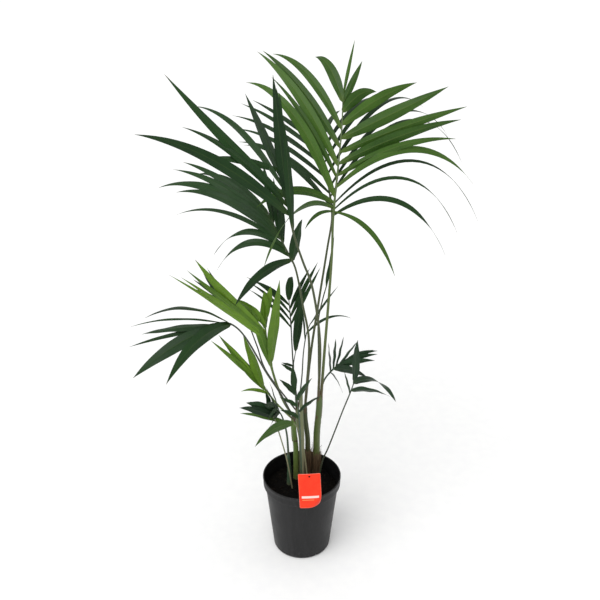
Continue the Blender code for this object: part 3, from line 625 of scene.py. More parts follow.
def frondFoot(frond):
    if frond["on"] is None:
        return Vector((*frond["seat"], soilTop))
    spot = Vector((*frond["spot"], 0.0))
    if spot.length > 0.0:
        spot.normalize()
    reach = stalkShape["seatReach"] * (frond["radii"][0] + stalkShape["gap"])
    return stemEnd(frond["on"]) + spot * reach + up * 2 * stalkShape["gap"]


def claspRings(frond, route):
    # below its foot a petiole widens into the sheath that hugs its stem
    rings = []
    name = frond["on"]
    spot = Vector((*frond["spot"], 0.0))
    for step in range(stalkShape["claspSteps"]):
        t = step / stalkShape["claspSteps"]
        share = 1 - (1 - t) * stalkShape["claspLength"] / stems[name]["top"][2]
        middle = stemPoint(name, max(share, 0.05))
        ease = easeBetween(0.0, 1.0, t)
        out = route.path[0] - stemEnd(name)
        out.z = 0.0
        stemRadius = stems[name]["radii"][1]
        hug = spot.normalized() * (stemRadius * 0.35) if spot.length > 0 else Vector()
        middle += hug.lerp(out, ease)
        thick = route.radii[0] * (0.75 + 0.25 * ease)
        wide = route.radii[0] + (stemRadius * 0.80 - route.radii[0]) * (1 - ease)
        rings.append((middle, max(wide, thick), max(thick, stemRadius * 0.72 * (1 - ease)), t))
    return rings


def growStalk(bm, layers, frond, route, draw):
    shape = stalkShape
    places = frond["left"] + frond["right"]
    spots = [route.blade + (1 - route.blade) * leaf[0] for leaf in places]
    tone = draw.random()
    rows = []
    middle, along, upper, right = route.frameAt(0.0)
    if frond["on"] is None:
        thick = route.radii[0] * shape["footWide"]
        for step in (3, 2, 1):
            rows.append((middle - up * shape["sunk"] * step / 3, right, upper, thick, thick, 0.0, 0.0))
    else:
        for centre, wide, thick, t in claspRings(frond, route):
            rows.append((centre, right, upper, wide, thick, 0.0, 0.0))
    for step in range(shape["steps"] + 1):
        share = (step / shape["steps"]) ** 0.9
        middle, along, upper, right = route.frameAt(share)
        radius = route.radiusAt(share)
        near = min(abs(share - spot) * route.length for spot in spots)
        radius *= 1 + shape["swell"] * (1 - easeBetween(0.0, 0.006, near))
        rows.append((middle, right, upper, radius, radius * 0.94, share, shape["channel"]))
    before = None
    for centre, right, upper, wide, thick, share, channel in rows:
        points = []
        for side in range(shape["sides"]):
            turn = math.tau * (side + 0.5) / shape["sides"]
            dip = 1 - channel * max(0.0, math.sin(turn)) ** 6
            points.append(centre + right * wide * math.cos(turn) + upper * thick * dip * math.sin(turn))
        values = {"along": share, "tone": tone, "across": 0.0, "under": 0.0}
        ring = ringOf(bm, layers, points, [values] * len(points))
        if before:
            bridge(bm, before, ring)
        else:
            bm.faces.new(ring[::-1])
        before = ring
    bm.faces.new(before)


def makeFrond(frond, leafName, stalkName):
    route = StalkRoute(frond, frondFoot(frond))
    draw = random.Random(frond["node"])
    bm = bmesh.new()
    layers = markLayers(bm, ("along", "tone", "across", "under"))
    growStalk(bm, layers, frond, route, draw)
    pieceFrom(frond["node"] + "_stalk", bm, stalkFinish[stalkName], [frond["node"]])
    bm = bmesh.new()
    layers = markLayers(bm, ("along", "tone", "across", "under"))
    for side, row in ((-1, frond["left"]), (1, frond["right"])):
        for leaf in row:
            growLeaflet(bm, layers, route, route.blade + (1 - route.blade) * leaf[0], side, leaf, draw)
    pieceFrom(frond["node"] + "_leaflets", bm, leafFinish[leafName], [frond["node"]])


topFront = {
    "node": "frond_top_front",
    "on": "stem_right", "spot": (1.0, 0.1), "radii": (0.0040, 0.0028, 0.0013), "blade": 0.63,
    "stalk": [
        (0.058, 0.045, 0.397), (0.065, 0.050, 0.510), (0.073, 0.070, 0.638),
        (0.076, 0.090, 0.749), (0.087, 0.140, 0.847), (0.097, 0.200, 0.929), (0.101, 0.250, 1.002),
    ],
    "face": (0.0, -0.9, 0.45),
    "left": [
        (0.00, 86, 10, 0.09, 2.2, 0.010), (0.03, 76, 50, 0.29, 2.3, 0.019),
        (0.07, 66, 15, 0.21, 1.4, 0.022), (0.12, 28, 10, 0.40, 0.95, 0.028),
        (0.28, 33, 12, 0.30, 0.50, 0.016), (0.38, 32, 8, 0.37, 0.60, 0.026),
        (0.54, 36, 8, 0.33, 0.50, 0.024), (0.70, 30, 5, 0.31, 0.85, 0.022),
        (0.94, 18, 5, 0.18, 1.00, 0.028),
    ],
    "right": [
        (0.00, 96, 12, 0.235, 2.6, 0.013), (0.20, 43, 12, 0.42, 1.65, 0.018),
        (0.30, 54, 10, 0.31, 0.60, 0.020), (0.40, 58, 8, 0.32, 0.32, 0.028),
        (0.50, 62, 8, 0.33, 0.15, 0.026), (0.62, 60, 8, 0.29, 0.00, 0.034),
        (0.74, 48, 6, 0.22, 0.42, 0.030), (0.85, 34, 5, 0.12, 1.00, 0.030),
        (0.92, 22, 5, 0.12, 0.00, 0.018), (0.99, 9, 5, 0.15, 0.10, 0.009),
    ],
}

topBack = {
    "node": "frond_top_back",
    "on": "stem_middle", "spot": (0.4, 1.0), "radii": (0.0034, 0.0025, 0.0012), "blade": 0.62,
    "stalk": [
        (0.023, 0.060, 0.379), (0.041, 0.070, 0.514), (0.062, 0.090, 0.657),
        (0.074, 0.118, 0.734), (0.068, 0.190, 0.777), (0.055, 0.300, 0.819), (0.043, 0.400, 0.843),
    ],
    "face": (0.0, -0.4, 0.9),
    "left": [
        (0.10, 36, 20, 0.33, 0.8, 0.014), (0.25, 38, 20, 0.34, 0.7, 0.014),
        (0.42, 40, 20, 0.34, 0.6, 0.014), (0.58, 40, 20, 0.34, 0.5, 0.014),
        (0.75, 38, 20, 0.32, 0.3, 0.014), (0.92, 32, 15, 0.30, 0.2, 0.014),
    ],
    "right": [
        (0.02, 62, 25, 0.37, 2.4, 0.014), (0.06, 59, 34, 0.43, 2.3, 0.009),
        (0.11, 61, 36, 0.52, 2.2, 0.009), (0.21, 50, 40, 0.60, 1.8, 0.012),
        (0.30, 48, 40, 0.54, 1.5, 0.012),
        (0.45, 44, 38, 0.50, 1.2, 0.012), (0.62, 42, 34, 0.46, 0.9, 0.012),
        (0.78, 36, 28, 0.40, 0.8, 0.012), (0.93, 22, 15, 0.26, 0.5, 0.014),
    ],
}

leftFront = {
    "node": "frond_left_front",
    "on": "stem_right", "spot": (-0.5, -0.87), "radii": (0.0036, 0.0026, 0.0012), "blade": 0.71,
    "stalk": [
        (0.045, 0.012, 0.440), (0.026, -0.010, 0.596), (0.002, -0.030, 0.679),
        (-0.017, -0.040, 0.744), (-0.030, -0.030, 0.804), (-0.042, 0.010, 0.855), (-0.049, 0.060, 0.898),
    ],
    "face": (0.2, -0.9, 0.4),
    "left": [
        (0.30, 39, 10, 0.395, 0.60, 0.030),
        (0.40, 32, 10, 0.31, 0.60, 0.018), (0.50, 40, 10, 0.39, -0.20, 0.024),
        (0.60, 23, 10, 0.36, 0.85, 0.016), (0.72, 16, 10, 0.24, 0.05, 0.022),
        (0.84, 74, 10, 0.19, 0.45, 0.018),
    ],
    "right": [
        (0.12, 8, 10, 0.25, 0.00, 0.022), (0.42, 5, 12, 0.31, 0.00, 0.030),
        (0.68, 4, 12, 0.25, 0.00, 0.032), (0.95, 4, 10, 0.20, 0.00, 0.022),
    ],
}

leftBack = {
    "node": "frond_left_back",
    "on": "stem_middle", "spot": (0.2, -1.0), "radii": (0.0034, 0.0024, 0.0012), "blade": 0.73,
    "stalk": [
        (0.018, 0.022, 0.426), (0.002, 0.020, 0.539), (-0.015, 0.020, 0.635),
        (-0.032, 0.030, 0.670), (-0.053, 0.060, 0.702), (-0.087, 0.130, 0.747),
    ],
    "face": (0.1, -0.5, 0.85),
    "left": [
        (0.03, 74, 10, 0.19, 1.3, 0.026), (0.10, 28, 12, 0.22, 2.1, 0.018),
        (0.20, 25, 12, 0.235, 2.0, 0.018),
        (0.29, 30, 15, 0.30, 1.0, 0.012), (0.40, 25, 15, 0.33, 0.85, 0.022),
        (0.52, 26, 15, 0.40, 0.95, 0.026), (0.65, 26, 15, 0.34, 0.6, 0.022),
        (0.78, 24, 15, 0.31, 0.5, 0.020), (0.92, 20, 15, 0.27, 0.8, 0.020),
    ],
    "right": [
        (0.02, 42, 10, 0.11, 0.5, 0.036), (0.33, 22, 10, 0.16, 0.2, 0.020),
        (0.46, 18, 10, 0.18, 0.2, 0.020), (0.72, 14, 10, 0.20, 0.2, 0.020),
    ],
}

lowLeft = {
    "node": "frond_low_left",
    "on": "stem_left", "spot": (0.5, -0.87), "radii": (0.0028, 0.0022, 0.0012), "blade": 0.85,
    "stalk": [
        (-0.056, -0.010, 0.302), (-0.090, -0.030, 0.377), (-0.135, -0.070, 0.497),
        (-0.163, -0.105, 0.552), (-0.188, -0.122, 0.564), (-0.213, -0.130, 0.557),
    ],
    "face": (0.1, -0.4, 0.9),
    "left": [
        (0.20, 25, -6, 0.275, 0.95, 0.032), (0.70, 5, 0, 0.230, 0.55, 0.034),
        (0.97, -18, 0, 0.20, 0.2, 0.010),
    ],
    "right": [
        (0.02, 1, 10, 0.29, 0.75, 0.020), (0.45, 17, 10, 0.22, 0.55, 0.010),
        (0.82, 26, 5, 0.18, 0.25, 0.028),
    ],
}

bright = {
    "node": "frond_bright",
    "on": "stem_left", "spot": (0.5, 0.87), "radii": (0.0034, 0.0030, 0.0014), "blade": 0.50,
    "stalk": [
        (-0.050, 0.012, 0.268), (-0.074, 0.000, 0.358), (-0.086, -0.010, 0.443),
        (-0.090, -0.010, 0.500), (-0.081, 0.000, 0.541),
    ],
    "face": (0.3, -0.9, 0.3),
    "left": [
        (0.04, 5, 10, 0.20, 0.00, 0.022), (0.50, 36, 10, 0.34, 0.15, 0.012),
        (0.55, 37, 14, 0.31, 0.10, 0.016),
        (0.59, 37, 18, 0.31, 0.00, 0.018), (0.63, 38, 20, 0.31, -0.30, 0.026),
        (0.74, 34, 8, 0.125, 0.70, 0.022), (0.86, 18, 8, 0.07, 0.20, 0.022),
    ],
    "right": [
        (0.10, 14, 14, 0.250, 0.20, 0.036), (0.70, -4, 8, 0.08, 0.30, 0.022),
        (0.97, -10, 8, 0.06, 0.70, 0.020),
    ],
}

slim = {
    "node": "frond_slim",
    "on": "stem_back", "spot": (-1.0, 0.2), "radii": (0.0022, 0.0017, 0.0010), "blade": 0.80,
    "stalk": [
        (-0.092, 0.070, 0.315), (-0.117, 0.085, 0.385), (-0.140, 0.100, 0.443),
        (-0.171, 0.120, 0.473), (-0.208, 0.140, 0.492),
    ],
    "face": (0.3, -0.6, 0.7),
    "left": [(0.30, 12, 10, 0.13, 0.3, 0.010), (0.75, -4, 10, 0.12, 0.1, 0.010)],
    "right": [(0.50, 16, 10, 0.13, -0.2, 0.012), (0.97, 14, 10, 0.09, -0.4, 0.010)],
}

lowGreen = {
    "node": "frond_low_green",
    "on": "stem_left", "spot": (-1.0, 0.0), "radii": (0.0028, 0.0024, 0.0012), "blade": 0.55,
    "stalk": [(-0.067, 0.010, 0.258), (-0.103, 0.010, 0.313), (-0.128, 0.010, 0.350)],
    "face": (0.3, -0.8, 0.5),
    "left": [
        (0.05, 24, 5, 0.08, 0.8, 0.010), (0.55, 8, 5, 0.18, 0.1, 0.014), (0.97, 0, 5, 0.12, 0.1, 0.012),
    ],
    "right": [(0.22, -3, 8, 0.20, 0.0, 0.026), (0.36, 15, 8, 0.150, 0.0, 0.030)],
}

centre = {
    "node": "frond_centre",
    "on": "stem_back", "spot": (0.4, 1.0), "radii": (0.0022, 0.0017, 0.0010), "blade": 0.76,
    "stalk": [
        (-0.021, 0.080, 0.300), (-0.026, 0.090, 0.386), (-0.028, 0.100, 0.428),
        (-0.031, 0.116, 0.468), (-0.034, 0.130, 0.500),
    ],
    "face": (0.0, -0.9, 0.4),
    "left": [
        (0.02, 35, 10, 0.15, 0.5, 0.010), (0.27, 35, 10, 0.15, 0.5, 0.010),
        (0.52, 35, 10, 0.15, 0.6, 0.010),
        (0.78, 40, 14, 0.12, 0.6, 0.012),
    ],
    "right": [
        (0.12, 30, 10, 0.17, 0.1, 0.012), (0.38, 30, 10, 0.16, 0.1, 0.014),
        (0.64, 28, 12, 0.12, 0.3, 0.012),
        (0.95, 8, 14, 0.08, 1.2, 0.022),
    ],
}

upright = {
    "node": "frond_upright",
    "on": "stem_inner", "spot": (-1.0, 0.0), "radii": (0.0022, 0.0018, 0.0010), "blade": 0.62,
    "stalk": [(-0.018, 0.050, 0.290), (-0.022, 0.050, 0.345), (-0.016, 0.052, 0.390)],
    "face": (0.2, -0.9, 0.2),
    "left": [(0.05, 40, 0, 0.045, 0.2, 0.012), (0.30, 60, 0, 0.035, 0.2, 0.010)],
    "right": [(0.97, -3, 0, 0.18, 0.0, 0.026)],
}

thin = {
    "node": "frond_thin",
    "on": "stem_inner", "spot": (1.0, 0.3), "radii": (0.0020, 0.0015, 0.0010), "blade": 0.70,
    "stalk": [(0.000, 0.072, 0.300), (0.004, 0.078, 0.370), (0.012, 0.082, 0.425), (0.022, 0.086, 0.452)],
    "face": (-0.3, -0.7, 0.6),
    "left": [(0.30, 14, 0, 0.10, 0.3, 0.008), (0.95, -10, -4, 0.13, 0.2, 0.008)],
    "right": [(0.60, 28, 0, 0.14, 1.0, 0.008)],
}

spear = {
    "node": "spear",
    "on": "stem_right", "spot": (-0.5, 0.87), "radii": (0.0022, 0.0016, 0.0010), "blade": 0.90,
    "stalk": [(0.043, 0.074, 0.379), (0.042, 0.080, 0.460), (0.052, 0.084, 0.520), (0.066, 0.087, 0.575)],
    "face": (0.0, -0.9, 0.3),
    "left": [(0.40, 10, 0, 0.06, 0.0, 0.008)],
    "right": [(0.95, -8, 0, 0.12, 0.0, 0.008)],
}

right = {
    "node": "frond_right",
    "on": None, "seat": (0.028, 0.066), "radii": (0.0028, 0.0022, 0.0012), "blade": 0.80,
    "stalk": [
        (0.047, 0.078, 0.150), (0.050, 0.074, 0.240), (0.058, 0.066, 0.290),
        (0.073, 0.052, 0.325), (0.094, 0.036, 0.358), (0.120, 0.027, 0.384),
    ],
    "face": (-0.3, -0.6, 0.7),
    "left": [
        (0.04, 48, 10, 0.08, 0.2, 0.026), (0.22, 42, 10, 0.085, 0.1, 0.022),
        (0.38, 34, 10, 0.090, 0.1, 0.018),
        (0.58, 14, 10, 0.090, 0.1, 0.014), (0.80, -6, 10, 0.090, 0.2, 0.014),
    ],
    "right": [
        (0.05, 54, 10, 0.08, 0.8, 0.010), (0.26, 26, 10, 0.15, 0.4, 0.022),
        (0.44, 16, 10, 0.15, 0.3, 0.018),
        (0.66, 12, 10, 0.12, 0.3, 0.014), (0.96, 8, 10, 0.09, 0.4, 0.012),
    ],
}

rightSmall = {
    "node": "frond_right_small",
    "on": None, "seat": (0.044, 0.000), "radii": (0.0022, 0.0017, 0.0010), "blade": 0.86,
    "stalk": [
        (0.054, -0.010, 0.084), (0.069, -0.020, 0.137), (0.088, -0.030, 0.207),
        (0.104, -0.050, 0.277), (0.119, -0.070, 0.340), (0.129, -0.082, 0.386),
    ],
    "face": (0.0, -0.5, 0.8),
    "left": [(0.10, 28, 10, 0.07, 0.1, 0.012), (0.85, 11, 10, 0.135, 0.1, 0.026)],
    "right": [(0.30, 40, 10, 0.13, 0.5, 0.024), (0.75, 27, 12, 0.155, 1.5, 0.030)],
}

inner = {
    "node": "frond_inner",
    "on": None, "seat": (0.000, -0.024), "radii": (0.0022, 0.0018, 0.0010), "blade": 0.72,
    "stalk": [
        (-0.002, -0.030, 0.100), (-0.005, -0.036, 0.200),
        (-0.010, -0.040, 0.270), (-0.018, -0.044, 0.330),
    ],
    "face": (0.0, -0.6, 0.7),
    "left": [
        (0.05, 40, 5, 0.060, 0.5, 0.016), (0.45, 36, 5, 0.060, 0.4, 0.016),
        (0.85, 22, 5, 0.070, 0.4, 0.016),
    ],
    "right": [
        (0.25, 44, 5, 0.080, 0.5, 0.016), (0.65, 32, 5, 0.080, 0.4, 0.018),
        (0.97, 4, 5, 0.080, 0.3, 0.018),
    ],
}

smallLow = {
    "node": "frond_small_low",
    "on": None, "seat": (0.016, 0.000), "radii": (0.0022, 0.0018, 0.0010), "blade": 0.90,
    "stalk": [
        (0.008, -0.008, 0.100), (-0.006, -0.026, 0.190),
        (-0.020, -0.038, 0.226), (-0.034, -0.042, 0.230),
    ],
    "face": (0.0, -0.5, 0.8),
    "left": [(0.40, 26, 0, 0.145, 1.0, 0.028)],
    "right": [(0.95, 26, 5, 0.13, 0.4, 0.018)],
}

smallLeft = {
    "node": "frond_small_left",
    "on": None, "seat": (-0.026, -0.014), "radii": (0.0020, 0.0016, 0.0010), "blade": 0.88,
    "stalk": [
        (-0.040, -0.026, 0.105), (-0.060, -0.042, 0.205),
        (-0.070, -0.048, 0.250), (-0.080, -0.052, 0.275),
    ],
    "face": (0.0, -0.5, 0.8),
    "left": [(0.30, 30, 0, 0.115, 0.4, 0.024), (0.96, 22, 0, 0.085, 0.4, 0.024)],
    "right": [(0.60, 15, 0, 0.07, 0.3, 0.020)],
}

smallDark = {
    "node": "frond_small_dark",
    "on": "stem_small", "spot": (0.0, 0.0), "radii": (0.0030, 0.0020, 0.0010), "blade": 0.80,
    "stalk": [(-0.040, -0.002, 0.170), (-0.051, -0.018, 0.234), (-0.063, -0.036, 0.268)],
    "face": (0.0, -0.5, 0.8),
    "left": [
        (0.45, 34, 6, 0.085, 0.6, 0.020), (0.70, 24, 6, 0.085, 0.5, 0.020),
        (0.96, 10, 4, 0.085, 0.4, 0.024),
    ],
    "right": [(0.40, 26, 0, 0.10, 0.2, 0.022), (0.80, 18, 0, 0.09, 0.2, 0.022)],
}

makeFrond(topFront, "midGreen", "greenStalk")
makeFrond(topBack, "darkGreen", "oliveStalk")
makeFrond(leftFront, "darkGreen", "oliveStalk")
makeFrond(leftBack, "darkGreen", "oliveStalk")
makeFrond(lowLeft, "darkGreen", "darkStalk")
makeFrond(bright, "brightGreen", "brightStalk")
makeFrond(slim, "darkGreen", "darkStalk")
makeFrond(lowGreen, "brightGreen", "brightStalk")
makeFrond(centre, "darkGreen", "darkStalk")
makeFrond(upright, "darkGreen", "darkStalk")
makeFrond(thin, "blueGreen", "darkStalk")
makeFrond(spear, "darkGreen", "oliveStalk")
makeFrond(right, "blueGreen", "blueStalk")
makeFrond(rightSmall, "blueGreen", "darkStalk")
makeFrond(inner, "darkGreen", "blueStalk")
makeFrond(smallLow, "midGreen", "paleStalk")
makeFrond(smallLeft, "blueGreen", "paleStalk")
makeFrond(smallDark, "darkGreen", "blueStalk")
print("18 fronds grown")


# fibre sheaths round the two oldest stems

sheaths = {
    "fibre_sheath_right": {"stem": "stem_right", "height": 0.090, "strands": 130, "frayed": 26},
    "fibre_sheath_middle": {"stem": "stem_middle", "height": 0.105, "strands": 110, "frayed": 30},
}


sheathThick = 0.0022


def fibreMaterial():
    made, tree, shader = newMaterial("dry_fibre", {"Roughness": 0.85, "Specular IOR Level": 0.2})
    tone, along = marked(tree, "tone"), marked(tree, "along")
    place = objectPlace(tree)
    streaks = useGroup(tree, fibreGroup, {"Vector": place, "Fineness": 700.0, "Stretch": 0.08})
    colour = blendColours(tree, tone, (0.030, 0.018, 0.010, 1), (0.17, 0.115, 0.060, 1))
    colour = blendColours(tree, scaled(tree, streaks["Mask"], 0.5), colour, (0.085, 0.050, 0.024, 1))
    frayed = scaled(tree, remap(tree, along, 0.6, 1.0), 0.35)
    colour = blendColours(tree, frayed, colour, (0.24, 0.19, 0.11, 1))
    dust = useGroup(tree, dustGroup, {"Vector": place, "Amount": 0.25, "Scale": 90.0})["Mask"]
    colour = blendColours(tree, dust, colour, (0.22, 0.18, 0.13, 1))
    join(tree, colour, shader.inputs["Base Color"])
    join(tree, remap(tree, streaks["Mask"], 0.0, 1.0, 0.75, 0.95), shader.inputs["Roughness"])
    bumpInto(tree, shader, streaks["Height"], 0.7, 0.0012)
    return made


def growStrand(bm, layers, points, radius, tone):
    before = None
    for index, point in enumerate(points):
        t = index / (len(points) - 1)
        ahead = points[min(index + 1, len(points) - 1)] - points[max(index - 1, 0)]
        first = ahead.cross(Vector((0.31, 0.95, 0.05))).normalized()
        second = ahead.cross(first).normalized()
        thin = radius * (1 - 0.75 * t)
        corners = [point + (first * math.cos(turn) + second * math.sin(turn)) * thin
                   for turn in (0.0, math.tau / 4, math.tau / 2, math.tau * 3 / 4)]
        ring = ringOf(bm, layers, corners, [{"along": t, "tone": tone}] * 4)
        if before:
            bridge(bm, before, ring)
        else:
            bm.faces.new(ring[::-1])
        before = ring
    bm.faces.new(before)


def makeSheath(name, finish):
    sheath = sheaths[name]
    stem = stems[sheath["stem"]]
    inner = max(stem["radii"]) + 0.0004
    foot = Vector((*stem["seat"], soilTop))
    draw = random.Random(name)
    bm = bmesh.new()
    layers = markLayers(bm, ("along", "tone"))
    before = None
    sides, rows = 72, 26
    outside = [(row / rows, sheathThick) for row in range(rows + 1)]
    inside = [(1 - row / 6 * 0.95, 0.0) for row in range(7)]
    for share, thick in outside + inside:
        points, marks = [], []
        for side in range(sides):
            turn = math.tau * side / sides
            way = Vector((math.cos(turn), math.sin(turn), 0))
            height = sheath["height"] * (0.80 + 0.20 * noise.noise(way * 2.2 + foot * 50)) * share
            crease = noise.noise(Vector((way.x * 7, way.y * 7, height * 9)) + foot * 40)
            fine = noise.noise(Vector((way.x * 22, way.y * 22, height * 18)))
            out = inner + thick * (0.75 + 0.45 * crease + 0.25 * fine) * (1 - 0.45 * share)
            points.append(foot + way * out + up * (0.0002 + height))
            marks.append({"along": share, "tone": 0.35 + 0.4 * fine})
        ring = ringOf(bm, layers, points, marks)
        if before:
            bridge(bm, before, ring)
        else:
            first = ring
        before = ring
    bridge(bm, before, first)
    pieceFrom(name + "_sleeve", bm, finish, [name])
    bm = bmesh.new()
    layers = markLayers(bm, ("along", "tone"))
    for index in range(sheath["strands"]):
        loose = index < sheath["frayed"]
        turn = draw.uniform(0, math.tau)
        swing = draw.uniform(-0.5, 0.5) * (2.2 if loose else 1.0)
        start = draw.uniform(0.0, 0.35) if not loose else draw.uniform(0.2, 0.7)
        end = min(start + draw.uniform(0.3, 0.75), 1.02 if not loose else 1.12)
        flare = draw.uniform(0.002, 0.007) if loose else 0.0
        points = []
        for step in range(9):
            t = step / 8
            share = start + (end - start) * t
            out = inner + 0.0021 * (1 - 0.35 * share) + 0.0006 + flare * t ** 2.2
            angle = turn + swing * t + 0.12 * math.sin(t * 9 + index)
            rise = sheath["height"] * share * 0.95 + 0.0006
            points.append(foot + Vector((math.cos(angle) * out, math.sin(angle) * out, rise)))
        growStrand(bm, layers, points, draw.uniform(0.00025, 0.00065), draw.random())
    pieceFrom(name + "_fibres", bm, finish, [name])


fibreFinish = fibreMaterial()
for sheathName in sheaths:
    makeSheath(sheathName, fibreFinish)
print("sheaths wound")


# pot

pot = {
    "sides": 168, "baseRadius": 0.077, "wall": 0.0018, "floor": 0.0022, "corner": 0.007, "collar": 0.026,
    "step": 0.0035, "lip": 0.0032, "ribs": 28, "ribDepth": 0.00022, "drains": 4, "drainTurn": -60,
    "drainSize": (0.018, 0.009, 0.012),
}


def plasticMaterial():
    made, tree, shader = newMaterial("moulded_plastic", {"Specular IOR Level": 0.2, "Coat Roughness": 0.35})
    place = objectPlace(tree)
    streaks = useGroup(tree, fibreGroup, {"Vector": place, "Fineness": 95.0, "Stretch": 0.035})
    scuffs = useGroup(tree, fibreGroup, {"Vector": place, "Fineness": 320.0, "Stretch": 0.25})
    clouds = useGroup(tree, mottleGroup, {"Vector": place, "Scale": 14.0, "Contrast": 0.8})["Mask"]
    dust = useGroup(tree, dustGroup, {"Vector": place, "Amount": 0.18, "Scale": 46.0})["Mask"]
    worn = marked(tree, "worn")
    # inside: painted shade, a mask that darkens the faces inside the pot to near black in place of the shade
    # that falls there
    inside = marked(tree, "inside")
    colour = blendColours(tree, clouds, (0.008, 0.008, 0.0085, 1), (0.013, 0.013, 0.0135, 1))
    colour = blendColours(tree, scaled(tree, streaks["Mask"], 0.35), colour, (0.027, 0.027, 0.028, 1))
    scrape = scaled(tree, worn, remap(tree, scuffs["Height"], 0.52, 0.66))
    colour = blendColours(tree, scaled(tree, scrape, 0.6), colour, (0.07, 0.07, 0.07, 1))
    colour = blendColours(tree, dust, colour, (0.040, 0.038, 0.035, 1))
    # painted shade: the inside faces of the pot are blended towards near black
    colour = blendColours(tree, scaled(tree, inside, 0.85), colour, (0.002, 0.002, 0.002, 1))
    join(tree, colour, shader.inputs["Base Color"])
    rough = remap(tree, sums(tree, "MULTIPLY_ADD", streaks["Mask"], 0.5, clouds), 0.0, 1.5, 0.42, 0.58)
    join(tree, sums(tree, "MULTIPLY_ADD", dust, 0.6, rough, clamp=True), shader.inputs["Roughness"])
    join(tree, remap(tree, scrape, 0.0, 0.5, 0.04, 0.0), shader.inputs["Coat Weight"])
    grain = noiseOf(tree, place, 2600.0, 2.0)
    height = sums(tree, "MULTIPLY_ADD", grain, 0.25, scaled(tree, streaks["Height"], 0.5))
    bumpInto(tree, shader, height, 0.25, 0.0006)
    return made


def wallRadius(height):
    top = rimRadius - pot["step"]
    return pot["baseRadius"] + (top - pot["baseRadius"]) * height / potHeight


def roundedTurn(centre, middle, radius, start, end, steps):
    return [(centre + radius * math.cos(math.radians(start + (end - start) * step / steps)),
             middle + radius * math.sin(math.radians(start + (end - start) * step / steps)))
            for step in range(steps + 1)]


def potProfile():
    # out from the middle of the floor, up the inside, over the lip, down the outside and back under
    lip = pot["lip"] / 2
    corner = pot["corner"]
    collarFoot = potHeight - pot["collar"]
    turnCentre = wallRadius(corner) - corner
    # each profile point gives radius, height, edge wear, and how much painted shade darkens it inside the pot
    profile = [(r * turnCentre / 6, pot["floor"], 0.0, 1.0) for r in range(1, 6)]
    for r, z in roundedTurn(turnCentre, corner, corner - pot["floor"], -90, 0, 6):
        profile.append((r, z, 0.0, 1.0))
    for step in range(1, 19):
        z = corner + (collarFoot - corner) * step / 18
        profile.append((wallRadius(z) - pot["wall"], z, 0.0, 1.0))
    profile.append((rimRadius - pot["lip"], potHeight - pot["collar"] * 0.55, 0.1, 1.0))
    profile.append((rimRadius - pot["lip"], potHeight - lip * 2.2, 0.5, 0.85))
    for r, z in roundedTurn(rimRadius - lip, potHeight - lip, lip, 180, 0, 10):
        profile.append((r, z, 1.0, 0.25))
    profile.append((rimRadius, potHeight - 0.005, 0.8, 0.0))
    profile.append((rimRadius - 0.0005, potHeight - 0.0065, 0.4, 0.0))
    for share in (0.45, 0.7, 0.9):
        profile.append((rimRadius - 0.0005 - 0.0006 * share, potHeight - pot["collar"] * share, 0.2, 0.0))
    edge = rimRadius - pot["step"] / 3
    for r, z in roundedTurn(edge - 0.0007, collarFoot + 0.0006, 0.0007, 0, -70, 4):
        profile.append((r, z, 0.9, 0.0))
    inset = wallRadius(collarFoot - 0.002)
    profile.append((inset + 0.0006, collarFoot - 0.0002, 0.1, 0.0))
    profile.append((inset, collarFoot - 0.0022, 0.0, 0.0))
    for step in range(1, 25):
        z = collarFoot - 0.0022 - (collarFoot - 0.0022 - corner) * step / 24
        profile.append((wallRadius(z), z, 0.1 + 0.5 * easeBetween(0.05, 0.0, z), 0.0))
    for r, z in roundedTurn(turnCentre, corner, corner, 0, -90, 8)[1:]:
        profile.append((r, z, 0.7, 0.0))
    for share in (0.93, 0.88, 0.5, 0.2):
        profile.append((turnCentre * share, 0.0006 if share < 0.9 else 0.0, 0.2, 0.0))
    return profile


def makePot(finish):
    bm = bmesh.new()
    layers = markLayers(bm, ("worn", "inside"))
    profile = potProfile()
    ribFoot, ribHead = 0.020, potHeight - pot["collar"] - 0.012
    before, first = None, None
    for side in range(pot["sides"]):
        turn = math.tau * side / pot["sides"]
        points, marks = [], []
        for radius, z, worn, inside in profile:
            onWall = easeBetween(ribFoot, ribFoot + 0.02, z) * easeBetween(ribHead, ribHead - 0.02, z)
            rib = pot["ribDepth"] * math.cos(turn * pot["ribs"]) * onWall if radius > rimRadius * 0.7 else 0.0
            reach = radius - abs(rib)
            points.append(Vector((math.cos(turn) * reach, math.sin(turn) * reach, z)))
            # inside carries the painted shade for the pot's inner faces
            marks.append({"worn": worn, "inside": inside})
        row = ringOf(bm, layers, points, marks)
        if before:
            for a, b, c, d in zip(before, before[1:], row[1:], row):
                bm.faces.new((a, b, c, d))
        else:
            first = row
        before = row
    for a, b, c, d in zip(before, before[1:], first[1:], first):
        bm.faces.new((a, b, c, d))
    bmesh.ops.holes_fill(bm, edges=[edge for edge in bm.edges if edge.is_boundary])
    piece = pieceFrom("nursery_pot", bm, finish, ["pot"], 32)
    cutters = []
    for index in range(pot["drains"]):
        turn = Matrix.Rotation(math.radians(pot["drainTurn"]) + index * math.tau / pot["drains"], 4, "Z")
        bm = bmesh.new()
        bmesh.ops.create_cube(bm, size=1.0)
        bmesh.ops.bevel(bm, geom=bm.edges[:], offset=0.12, segments=2, affect="EDGES")
        length, wide, tall = pot["drainSize"]
        outward = Matrix.Translation((pot["baseRadius"] - pot["corner"] / 2, 0, 0))
        place = turn @ outward @ Matrix.Diagonal((length, wide, tall, 1))
        bmesh.ops.transform(bm, matrix=place, verts=bm.verts)
        mesh = bpy.data.meshes.new("drainCutter")
        bm.to_mesh(mesh)
        bm.free()
        cutter = bpy.data.objects.new("drainCutter", mesh)
        bpy.context.scene.collection.objects.link(cutter)
        cutters.append(cutter)
        hole = piece.modifiers.new("drain", "BOOLEAN")
        hole.operation, hole.object = "DIFFERENCE", cutter
    applyModifiers(piece)
    for cutter in cutters:
        bpy.data.objects.remove(cutter)
    return piece


